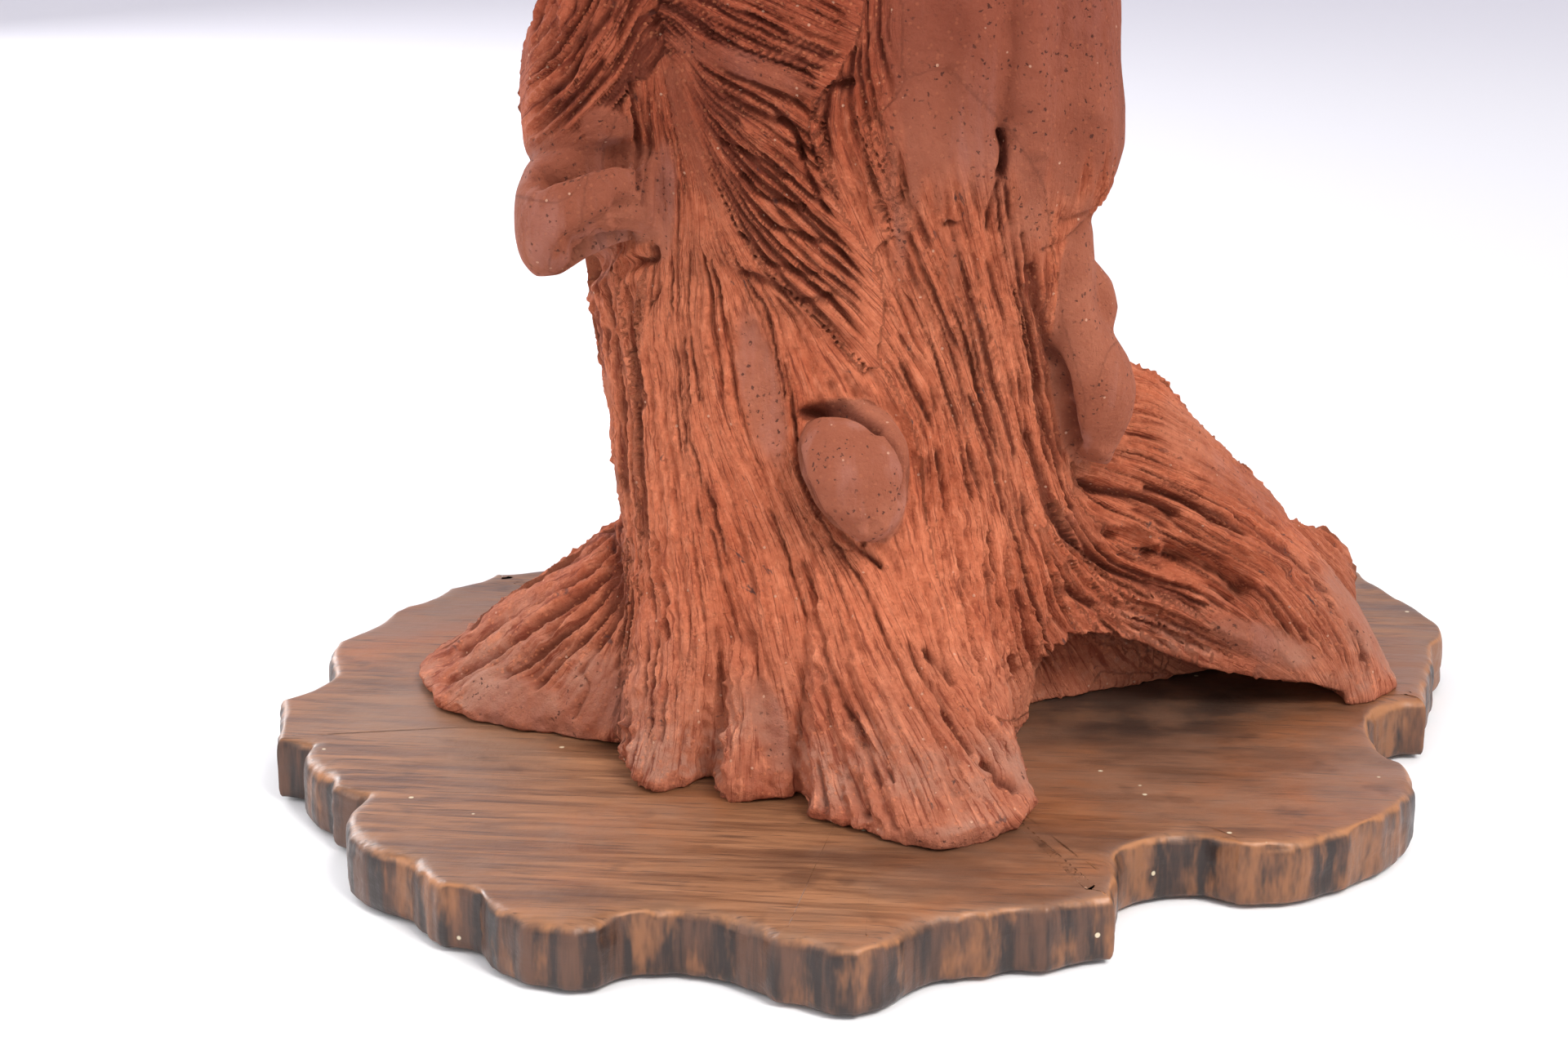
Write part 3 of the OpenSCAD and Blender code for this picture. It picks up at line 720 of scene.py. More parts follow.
class Combing:
    """For each point of the clay: its band, position across in grooves, distance
    along in mm, and the local pitch of the grooves in mm."""

    def __init__(self, clay, facing):
        per_band = [band_samples(BANDS[name]) for name in BAND_NAMES]
        band = np.repeat(np.arange(len(per_band)), [len(x[0]) for x in per_band])
        places, d_t, d_s, t, s, size = (np.concatenate(x) for x in zip(*per_band))
        sheet = front_sheet(clay.points)
        nearest, away = self.find_nearest(places, sheet, facing)
        off = sheet - places[nearest]
        a, b = d_t[nearest], d_s[nearest]
        det = a[:, 0] * b[:, 1] - a[:, 1] * b[:, 0]
        det = np.where(np.abs(det) < 0.05, np.where(det < 0, -0.05, 0.05), det)
        dt = (off[:, 0] * b[:, 1] - off[:, 1] * b[:, 0]) / det
        ds = (a[:, 0] * off[:, 1] - a[:, 1] * off[:, 0]) / det
        self.in_front = facing & (away < 9)
        self.band = band[nearest]
        unit = b / np.maximum(np.linalg.norm(b, axis=1), 1e-6)[:, None]
        pitch = np.abs(a[:, 0] * unit[:, 1] - a[:, 1] * unit[:, 0])
        count, depth, share, breaks, ragged = (
            np.array([COMB[n][k] for n in BAND_NAMES])[self.band] for k in range(5))
        self.u = (t[nearest] + np.clip(dt, -3, 3)) * count
        self.s = s[nearest] + np.clip(ds, -9, 9)
        self.pitch = pitch / count
        self.depth = depth * smoothstep((size[nearest] - self.s) / 9)
        self.share, self.breaks = share, breaks
        self.ragged = np.where(self.in_front, ragged, 0.8)
        self.shake = 0.28 * noise(clay.points, 1.5, 14) + 0.28 * noise(clay.points, 3.6, 15)
        self.shake *= self.ragged
        self.set_back(clay)

    def find_nearest(self, places, sheet, facing):
        """The nearest band sample to each point that faces the front, and how far."""
        tree = kdtree.KDTree(len(places))
        for i, p in enumerate(places):
            tree.insert((p[0], p[1], 0), i)
        tree.balance()
        nearest = np.zeros(len(sheet), dtype=int)
        away = np.full(len(sheet), 99.0)
        for v in np.nonzero(facing)[0]:
            _, nearest[v], away[v] = tree.find((sheet[v, 0], sheet[v, 1], 0))
        return nearest, away

    def set_back(self, clay):
        """Behind, the grooves run up and down round the clay's centre line."""
        back = ~self.in_front
        x, y = clay.points[:, 0] - CLAY_X, clay.points[:, 1] - CLAY_Y
        around = np.arctan2(y, x) + clay.points[:, 2] * 0.0012
        around += 0.05 * noise(clay.points, 45.0, 31)
        grooves = 138 / (2 * np.pi)
        self.u = np.where(back, around * grooves + 700, self.u)
        self.s = np.where(back, clay.points[:, 2] + 0.7 * np.hypot(x, y), self.s)
        self.pitch = np.where(back, np.hypot(x, y) / grooves, self.pitch)
        self.band = np.where(back, len(BAND_NAMES), self.band)
        for name, value in (("depth", 1.4), ("share", 0.27), ("breaks", 0.6)):
            setattr(self, name, np.where(back, value, getattr(self, name)))

    def wave(self, index, along, seed):
        """Smooth random values from 0 to 1 along each groove."""
        p = self.s / along + 50
        low = np.floor(p).astype(np.int64)
        f = p - low
        f = f * f * (3 - 2 * f)
        a = lattice(index, low, self.band, seed)
        return a * (1 - f) + lattice(index, low + 1, self.band, seed) * f

    def layer(self, shift, scale, seed):
        """Depth of cut and height of burr of one set of grooves."""
        u = self.u * scale + shift
        pitch = self.pitch / scale
        cut = np.zeros(len(u))
        burr = np.zeros(len(u))
        for step in (-1, 0, 1):
            i = np.floor(u).astype(np.int64) + step
            center = i + 0.5 + 0.34 * (lattice(i, self.band, i, seed) - 0.5)
            center = center + 0.5 * (self.wave(i, 24.0, seed + 1) - 0.5)
            center = center + 0.14 * (self.wave(i, 6.0, seed + 6) - 0.5)
            strong = 0.45 + 0.9 * lattice(i, self.band, i + 9, seed + 2)
            broken = smoothstep((self.wave(i, 15.0, seed + 3) - self.breaks * 0.55) / 0.22)
            ragged = 0.75 + 0.5 * self.wave(i, 2.6, seed + 4)
            half = np.clip(self.share * pitch * (0.7 + 0.6 * self.wave(i, 30.0, seed + 5)),
                           0.45, 2.2)
            d = (u - center) * pitch + self.shake
            here = strong * broken * ragged * np.exp(-np.abs(d / half) ** 2.4)
            cut = np.maximum(cut, here)
            side = np.exp(-((np.abs(d) - 1.7 * half) / (0.7 * half)) ** 2)
            burr = np.maximum(burr, strong * broken * side)
        return cut, burr


def line_distance(sheet, line):
    """Distance of each point from a line, and its share of the way along."""
    line, length = smooth_line(line, 40)
    best = np.full(len(sheet), 1e9)
    share = np.zeros(len(sheet))
    for i, (p, q) in enumerate(zip(line[:-1], line[1:])):
        e = q - p
        t = np.clip(((sheet - p) @ e) / max(e @ e, 1e-9), 0, 1)
        d = np.linalg.norm(sheet - p - t[:, None] * e, axis=1)
        near = d < best
        best[near] = d[near]
        share[near] = (i + t[near]) / (len(line) - 1)
    return best, share, length


def line_relief(clay, sheet, facing, lines, seed):
    """The heights or depths of a list of single lines over the clay."""
    out = np.zeros(clay.count)
    for index, (width, depth, line) in enumerate(lines):
        pts = np.array(line)
        near = facing & np.all(sheet > pts.min(axis=0) - 3 * width - 2, axis=1)
        near &= np.all(sheet < pts.max(axis=0) + 3 * width + 2, axis=1)
        ids = np.nonzero(near)[0]
        if not len(ids):
            continue
        wobble = 0.25 * width * noise(clay.points[ids], 5.0, seed + index)
        d, share, length = line_distance(sheet[ids], line)
        tip = np.minimum(share, 1 - share) * length
        taper = smoothstep(tip / (1.2 * width) + 0.35)
        ragged = 1 + 0.25 * noise(clay.points[ids], 3.0, seed + 40 + index)
        here = depth * ragged * taper * np.exp(-np.abs((d + wobble) / width) ** 2.2)
        out[ids] = np.maximum(out[ids], here)
    return out


def kept_share(sheet, facing, clay):
    """How much of the combing is left at each point, from the smooth places."""
    kept = np.ones(clay.count)
    for a, b, ra, rb, tilt, left in SMOOTH_PLACES:
        c, s = math.cos(math.radians(tilt)), math.sin(math.radians(tilt))
        da, db = sheet[:, 0] - a, sheet[:, 1] - b
        r = np.hypot((da * c + db * s) / ra, (-da * s + db * c) / rb)
        r += 0.12 * noise(clay.points, 7.0, 77)
        share = left + (1 - left) * smoothstep((r - 0.75) / 0.5)
        kept = np.where(facing, np.minimum(kept, share), kept)
    for name in SMOOTH_PIECES:
        share = smoothstep((clay.away[name] - 1.2) / 1.2)
        if name == "drape":
            edge = 190 + 24 * noise(clay.points * [1, 1, 0.05], 4.0, 78)
            share = np.maximum(share, smoothstep((edge - clay.points[:, 2]) / 34))
            share = np.maximum(share, smoothstep((2 - clay.points[:, 0]) / 12))
        kept = np.minimum(kept, share)
    return kept


def carved_grooves(comb):
    """Cut depth and burr height of the main, extra and fine grooves, from 0 to 1."""
    cut, burr = comb.layer(0.0, 1.0, 11)
    fine_cut, _ = comb.layer(0.3, 2.6, 51)
    extra_cut, extra_burr = comb.layer(0.5, 1.0, 91)
    extra = smoothstep((comb.pitch - 4.0) / 2.0)
    cut = np.maximum(cut, extra_cut * extra)
    return cut + 0.36 * fine_cut * (1 - cut), np.maximum(burr, extra_burr * extra)


def ragged_hem(clay, broad):
    """Pushes the steep foot of the clay in and out so that its edge is uneven."""
    hem = smoothstep((9 - clay.points[:, 2]) / 7) * smoothstep((0.6 - broad[:, 2]) / 0.4)
    uneven = (1.5 * noise(clay.points * [1, 1, 0.4], 7.0, 17)
              + 0.9 * noise(clay.points * [1, 1, 0.6], 3.0, 18))
    clay.points += broad * [1, 1, 0] * (hem * uneven)[:, None]


def sculpt(clay):
    """Works the whole surface: broad ridges, single cuts, combing, burrs and grit."""
    broad = clay.smooth_normals(12)
    view = np.array([0, -math.cos(VIEW_TILT), math.sin(VIEW_TILT)])
    facing = (broad @ view + 0.06 * noise(clay.points, 12.0, 3)) > 0.03
    sheet = front_sheet(clay.points)
    kept = kept_share(sheet, facing, clay)
    ridges = line_relief(clay, sheet, facing, RIDGES, 200)
    cuts = line_relief(clay, sheet, facing, CUTS, 300)
    hollows = line_relief(clay, sheet, facing, HOLLOWS, 400)
    comb = Combing(clay, facing)
    groove, burr = carved_grooves(comb)
    clear = smoothstep((comb.pitch - 0.4) / 0.6)
    grit = noise(clay.points, 1.7, 5)
    crumb = noise(clay.points, 3.2, 6)
    low = np.clip((clay.points[:, 2] + 2) / 8, 0, 1)
    comb_depth = comb.depth * np.clip(comb.pitch / 2.6, 0.25, 1.25) * clear * kept * low
    carve = comb_depth * groove
    rough = np.clip(comb.ragged, 0.3, 1.0)
    rise = np.minimum(comb_depth, 1.7) * burr * (0.25 + 0.42 * rough * np.clip(
        crumb + grit * 0.8, -0.3, 1.2))
    ragged_hem(clay, broad)
    clay.points += broad * (ridges - hollows + 0.9 * noise(clay.points, 26.0, 8)
                            + 0.7 * noise(clay.points, 10.0, 9) * (0.3 + 0.7 * kept))[:, None]
    folds = smoothstep((3 - clay.away["drape"]) / 2) * smoothstep((clay.points[:, 2] - 150) / 20)
    clay.points += broad * (folds * 2.2 * noise(clay.points * [1, 1, 0.16], 10.0, 19))[:, None]
    crumbs = np.clip(noise(clay.points, 2.3, 16) - 0.38, 0, 1) * kept * rough * (0.2 + 0.8 * burr)
    clay.points += broad * (rise - carve - cuts + 0.19 * grit * (0.25 + 0.75 * kept)
                            + 0.26 * crumb * kept + 2.2 * crumbs)[:, None]
    clay.points[:, 2] = np.maximum(clay.points[:, 2], 0.0)
    clay.update_normals()
    narrow = smoothstep((4.2 - comb.pitch) / 2.5)
    clay.broad = broad
    # Painted shade: how dark to paint the clay in its narrow grooves and cuts, where they shade
    # themselves.
    clay.carved = np.clip(carve * (0.25 + 0.75 * narrow) / 1.8 + cuts / 5.0, 0, 1)
    clay.kept = kept * (0.6 + 0.4 * clear)
    clay.comb = np.stack([comb.u * STREAK_PITCH, comb.s, comb.band * 37.0], axis=1)


# ---------------------------------------------------------------- separate clay pieces

# The directions that each root takes up, in degrees
ROOT_SECTORS = {
    "left_root": (150, 213.5), "front_left_root": (213.5, 261), "front_root": (261, 314),
    "right_root": (-46, 62), "back_root": (62, 150),
}
SHELL = 3.0
SMOOTH_PIECES = ("knot", "drape", "drape_tongue", "branch_stub")


def outside_trunk(clay):
    """How far each point stands out from the plain trunk, and its direction."""
    angles = np.linspace(0, 2 * np.pi, 181)
    rise = 4.0
    levels = np.arange(0, 256, rise)
    rows = np.array(TRUNK_ROWS, dtype=float)
    table = np.array([ring_radii(level_ring(
        [z] + [np.interp(z, rows[:, 0], rows[:, k]) for k in range(1, 5)], 360), angles)
        for z in levels])
    x, y, z = (clay.points - [CLAY_X, CLAY_Y, 0]).T
    a = np.arctan2(y, x) % (2 * np.pi)
    i = np.clip((z / rise).round().astype(int), 0, len(levels) - 1)
    j = np.clip((a / (2 * np.pi) * 180).round().astype(int), 0, 180)
    return np.hypot(x, y) - table[i, j], np.degrees(a)


def piece_labels(clay):
    """The clay node that each point belongs to; 0 is the trunk."""
    names = ["trunk"]
    label = np.zeros(clay.count, dtype=int)
    out, heading = outside_trunk(clay)
    root = (out > 2.0) & (clay.points[:, 2] < 112)
    for name, (low, high) in ROOT_SECTORS.items():
        names.append(name)
        label[root & ((heading - low) % 360 < high - low)] = len(names) - 1
    behind = (label == names.index("right_root")) & (clay.away["right_back_root"] < 1.6)
    names.append("right_back_root")
    label[behind] = len(names) - 1
    for name in ("bark_lobe", "branch_stub", "drape", "drape_tongue", "knot"):
        names.append(name)
        mine = clay.away[name] < 1.4
        if name == "drape":
            mine &= (clay.points[:, 2] > 170) & (clay.points[:, 0] > -4)
        label[mine] = len(names) - 1
    return names, even_labels(clay, label, len(names))


def even_labels(clay, label, count):
    """The labels with ragged edges and small islands smoothed away."""
    best, most = np.zeros(clay.count, dtype=int), np.full(clay.count, -1.0)
    for k in range(count):
        share = (label == k).astype(float)[:, None]
        for _ in range(8):
            share = clay.averaged(share)
        best = np.where(share[:, 0] > most, k, best)
        most = np.maximum(most, share[:, 0])
    return best


def quad_faces(mesh):
    """The mesh's four-sided faces, which are all that a voxel remesh makes."""
    corners = np.empty(len(mesh.loops), dtype=np.int32)
    mesh.loops.foreach_get("vertex_index", corners)
    sizes = np.empty(len(mesh.polygons), dtype=np.int32)
    mesh.polygons.foreach_get("loop_total", sizes)
    starts = np.concatenate([[0], np.cumsum(sizes)[:-1]])[sizes == 4]
    return np.stack([corners[starts + k] for k in range(4)], axis=1)


def split_clay(clay):
    """Cuts the sculpted clay into its named pieces, each a closed skin whose outer face
    is the sculpted surface, so that the joins don't show."""
    names, label = piece_labels(clay)
    faces = quad_faces(clay.obj.data)
    face_label = label[faces].max(axis=1)
    pieces = {}
    for index, name in enumerate(names):
        mine = faces[face_label == index]
        if len(mine):
            pieces[name] = skin_piece(clay, "clay_" + name, mine)
    bpy.data.objects.remove(clay.obj)
    return pieces


def closed_faces(faces, count):
    """The faces, the same faces turned over on the set-back points, and a rim."""
    edges = np.concatenate([faces[:, [k, (k + 1) % 4]] for k in range(4)])
    key = edges[:, 0].astype(np.int64) * count + edges[:, 1]
    back = edges[:, 1].astype(np.int64) * count + edges[:, 0]
    rim = edges[~np.isin(key, back)]
    rim = np.stack([rim[:, 1], rim[:, 0], rim[:, 0] + count, rim[:, 1] + count], axis=1)
    return np.concatenate([faces, faces[:, ::-1] + count, rim])


def quad_mesh(name, points, faces):
    """A smooth-shaded mesh of quads from points in mm above the board."""
    mesh = bpy.data.meshes.new(name)
    mesh.vertices.add(len(points))
    placed = ((points + [0, 0, BOARD_TOP]) * MM).astype(np.float32)
    mesh.vertices.foreach_set("co", placed.ravel())
    mesh.loops.add(faces.size)
    mesh.loops.foreach_set("vertex_index", faces.ravel().astype(np.int32))
    mesh.polygons.add(len(faces))
    mesh.polygons.foreach_set("loop_start", np.arange(0, faces.size, 4, dtype=np.int32))
    mesh.polygons.foreach_set("use_smooth", np.ones(len(faces), dtype=bool))
    mesh.update(calc_edges=True)
    return mesh


def skin_piece(clay, name, faces):
    """One closed piece under the given faces, shaded with the whole clay's normals."""
    used, faces = np.unique(faces, return_inverse=True)
    faces = faces.reshape(-1, 4)
    points = np.concatenate([clay.points[used], clay.points[used] - clay.broad[used] * SHELL])
    points[:, 2] = np.maximum(points[:, 2], 0.0)
    mesh = quad_mesh(name, points, closed_faces(faces, len(used)))
    normals = np.concatenate([clay.normals[used], -clay.normals[used]])
    mesh.normals_split_custom_set_from_vertices(normals.tolist())
    source = np.concatenate([used, used])
    for key, kind, field, values in (("carved", "FLOAT", "value", clay.carved),
                                     ("kept", "FLOAT", "value", clay.kept),
                                     ("comb", "FLOAT_VECTOR", "vector", clay.comb)):
        mesh.attributes.new(key, kind, "POINT")
        data = values[source].astype(np.float32).ravel()
        mesh.attributes[key].data.foreach_set(field, data)
    return add_object(name, mesh)


# ---------------------------------------------------------------- board

# Corners of the board's outline in mm, and how far the edge from each corner to the
# next bows out (+) or is scooped in (-)
BOARD_EDGE = [
    (-200, 7, -1), (-195, -31, 0), (-184, -35, 2.5), (-178, -58, -1.5), (-171, -70, 1),
    (-160, -77, 8), (-150, -121, 0), (-140, -128, 1.5), (-129, -145, -1.5),
    (-119, -149, 1), (-114, -158, 2), (-98, -170, 2), (-84, -170, -3), (-62, -162, -3),
    (-36, -179, -1), (-27, -183, 4), (-7, -184, 0), (3, -170, -2), (22, -164, -1.5),
    (39, -161, -1.5), (58, -152, -0.5), (61, -132, -5), (77, -110, -2.5), (98, -115, 2),
    (123, -110, 3), (154, -79, 2.5), (160, -49, -2), (154, -26, -3), (162, -1, -2.5),
    (178, 6, -1), (185, 32, -1), (190, 46, -1.5), (194, 64, 2), (200, 84, 1.5),
    (191, 118, -1), (184, 148, 3), (158, 164, -2), (136, 170, 4), (100, 174, -4),
    (64, 183, 3), (20, 182, -3), (-22, 184, 2.2), (-76, 186, 0), (-104, 181, -4),
    (-119, 152, -1.5), (-143, 147, -2), (-159, 128, -1.5), (-172, 106, -2), (-190, 66, 2),
    (-186, 32, -3),
]
BOARD_LOW, BOARD_HIGH = 1.5, 21.5
RECESS_R, RECESS_TOP = 113.5, 8.3

# The edge's section: how far in from the outline, and the height
EDGE_SECTION = [
    (2.0, 1.5), (0.9, 1.8), (0.3, 2.8), (0.0, 4.5), (0.0, 6.5), (0.0, 8.5), (0.0, 10.5),
    (0.0, 12.5), (0.0, 14.5), (0.1, 16.0), (0.2, 17.3), (0.4, 18.4), (0.7, 19.3),
    (1.1, 20.1), (1.7, 20.75), (2.5, 21.2), (3.5, 21.42), (5.0, 21.5), (6.5, 21.5),
]


def board_outline(count):
    """Even points round the board's outline, and the distance along it."""
    pts = []
    for (x0, y0, bow), (x1, y1, _) in zip(BOARD_EDGE, BOARD_EDGE[1:] + BOARD_EDGE[:1]):
        out = Vector((y1 - y0, x0 - x1)).normalized()
        for t in np.linspace(0, 1, 14, endpoint=False):
            lift = 4 * bow * t * (1 - t)
            pts.append((x0 + (x1 - x0) * t + out.x * lift, y0 + (y1 - y0) * t + out.y * lift))
    pts = np.array(pts + pts[:1])
    length = np.concatenate([[0], np.cumsum(np.linalg.norm(np.diff(pts, axis=0), axis=1))])
    at = np.linspace(0, length[-1], count, endpoint=False)
    return np.stack([np.interp(at, length, pts[:, k]) for k in (0, 1)], axis=1), at


def ring_average(values, width):
    """Values round a ring, each averaged with its neighbours."""
    out = values.copy()
    for k in range(1, width + 1):
        out += np.roll(values, k, axis=0) + np.roll(values, -k, axis=0)
    return out / (2 * width + 1)


def edge_relief(along, x, y, z):
    """How far the worn, gouged edge stands in from its outline."""
    p = np.stack([x, y, z * 0.10], axis=1)
    flute = np.abs(noise(p, 9.0, 21)) * 1.5 + 0.8 * np.clip(noise(p, 4.0, 22), 0, 1)
    gouge = 2.0 * np.clip(noise(p, 15.0, 23) - 0.35, 0, 1)
    split = 0.9 * np.clip(noise(np.stack([x * 0.6, y * 0.6, z * 2.2], axis=1), 6.0, 24) - 0.3, 0, 1)
    rough = 0.14 * noise(np.stack([x, y, z * 0.5], axis=1), 1.6, 25)
    return 0.9 * flute + gouge + split + rough - 0.9


def inward_directions(outline):
    tangent = np.roll(outline, -1, axis=0) - np.roll(outline, 1, axis=0)
    inward = np.stack([-tangent[:, 1], tangent[:, 0]], axis=1)
    inward = ring_average(inward / np.linalg.norm(inward, axis=1)[:, None], 3)
    return inward / np.linalg.norm(inward, axis=1)[:, None]


def edge_rings(outline, along):
    """The board's side, from its lower corner up over the worn arris."""
    count = len(outline)
    inward = inward_directions(outline)
    wear = 1 + 0.8 * noise(np.concatenate([outline, outline[:, :1] * 0], axis=1), 14.0, 26)
    rings = []
    for inset, z in EDGE_SECTION:
        low = (z - BOARD_LOW) / 20.0
        zz = np.full(count, float(z))
        relief = edge_relief(along, outline[:, 0], outline[:, 1], zz)
        relief *= 1.0 if z < 19 else max(0.0, (BOARD_HIGH - z) / 2.5)
        worn = inset * wear if z > 15 else np.full(count, inset)
        ring = outline + inward * (worn + relief * (0.75 + 0.25 * low))[:, None]
        if 18 < z < BOARD_HIGH - 0.05:
            zz -= 0.25 * np.clip(noise(np.stack([ring[:, 0], ring[:, 1], zz], axis=1), 5, 27), 0, 1)
        rings.append(np.column_stack([ring, zz]))
    return rings


def top_rings(rim):
    """The board's nearly flat top, from its rim in to its middle."""
    rings = []
    for share in 1 - np.linspace(0, 1, 46)[1:-1] ** 1.15:
        ring = rim * [share, share, 1]
        ring[:, 2] = BOARD_HIGH + 0.12 * noise(ring * [0.4, 1, 1], 18.0, 28) - 0.04
        rings.append(ring)
    return rings


def under_rings(outline):
    """The round recess in the board's underside, which the ball race sits in."""
    angle = np.arctan2(outline[:, 1], outline[:, 0])
    circle = np.stack([np.cos(angle), np.sin(angle)], axis=1)
    return [np.column_stack([circle * r, np.full(len(outline), z)])
            for r, z in ((2, RECESS_TOP), (RECESS_R - 1, RECESS_TOP), (RECESS_R, RECESS_TOP),
                         (RECESS_R, RECESS_TOP - 0.5), (RECESS_R, BOARD_LOW + 0.4),
                         (RECESS_R + 0.4, BOARD_LOW))]


def make_board():
    outline, along = board_outline(1500)
    side = edge_rings(outline, along)
    board = loft_object("board_wood", under_rings(outline) + side + top_rings(side[-1]))
    board.data.transform(Matrix.Translation((0, 0, -BOARD_TOP * MM)))
    for p in board.data.polygons:
        p.use_smooth = True
    return board


# ---------------------------------------------------------------- materials

def srgb(r, g, b):
    """A colour from 0 to 255 steps as Blender's linear colour."""
    out = []
    for c in (r, g, b):
        c = c / 255
        out.append(c / 12.92 if c < 0.04045 else ((c + 0.055) / 1.055) ** 2.4)
    return (*out, 1.0)


class Shader:
    """A material and short ways to add nodes to it."""

    def __init__(self, name):
        self.mat = bpy.data.materials.new(name)
        self.mat.use_nodes = True
        self.tree = self.mat.node_tree
        self.bsdf = self.tree.nodes["Principled BSDF"]
        self.obj = self.node("TexCoord").outputs["Object"]

    def node(self, kind, inputs=None, **settings):
        node = self.tree.nodes.new("ShaderNode" + kind)
        for key, value in settings.items():
            setattr(node, key, value)
        for key, value in (inputs or {}).items():
            self.feed(node.inputs[key], value)
        return node

    def feed(self, socket, value):
        if isinstance(value, bpy.types.NodeSocket):
            self.tree.links.new(value, socket)
        else:
            socket.default_value = value

    def attribute(self, name):
        return self.node("Attribute", attribute_name=name)

    def place(self, scale, source):
        """A vector scaled on each axis."""
        return self.node("Mapping", {"Vector": source, "Scale": scale}).outputs[0]

    def noise(self, vector, scale, detail=3.0, rough=0.55, distortion=0.0):
        return self.node("TexNoise", {"Vector": vector, "Scale": scale, "Detail": detail,
                                      "Roughness": rough, "Distortion": distortion}).outputs[0]

    def band(self, value, low, high, out_low=0.0, out_high=1.0):
        """The value's range low to high spread smoothly over another range."""
        return self.node("MapRange", {"Value": value, "From Min": low, "From Max": high,
                                      "To Min": out_low, "To Max": out_high},
                         interpolation_type="SMOOTHSTEP").outputs[0]

    def math(self, operation, a, b):
        return self.node("Math", {0: a, 1: b}, operation=operation).outputs[0]

    def times(self, a, b):
        return self.math("MULTIPLY", a, b)

    def mix(self, share, a, b, kind="MIX"):
        node = self.node("Mix", data_type="RGBA", blend_type=kind)
        for socket, value in ((node.inputs[0], share), (node.inputs[6], a), (node.inputs[7], b)):
            self.feed(socket, value)
        return node.outputs[2]

    def specks(self, vector, scale, radius, amount):
        """1 inside scattered round specks: cells in a share given by amount."""
        cell = self.node("TexVoronoi", {"Vector": vector, "Scale": scale})
        near = self.band(cell.outputs["Distance"], radius, radius * 0.6)
        pick = self.node("SeparateColor", {"Color": cell.outputs["Color"]}).outputs[0]
        return self.times(near, self.math("LESS_THAN", pick, amount))

    def bump(self, height, distance, strength=1.0, normal=None):
        node = self.node("Bump", {"Height": height, "Distance": distance, "Strength": strength})
        if normal is not None:
            self.feed(node.inputs["Normal"], normal)
        return node.outputs[0]

    def finish(self, color=None, rough=None, normal=None, **constants):
        for key, value in (("Base Color", color), ("Roughness", rough), ("Normal", normal)):
            if value is not None:
                self.feed(self.bsdf.inputs[key], value)
        for key, value in constants.items():
            self.bsdf.inputs[key.replace("_", " ")].default_value = value
        return self.mat


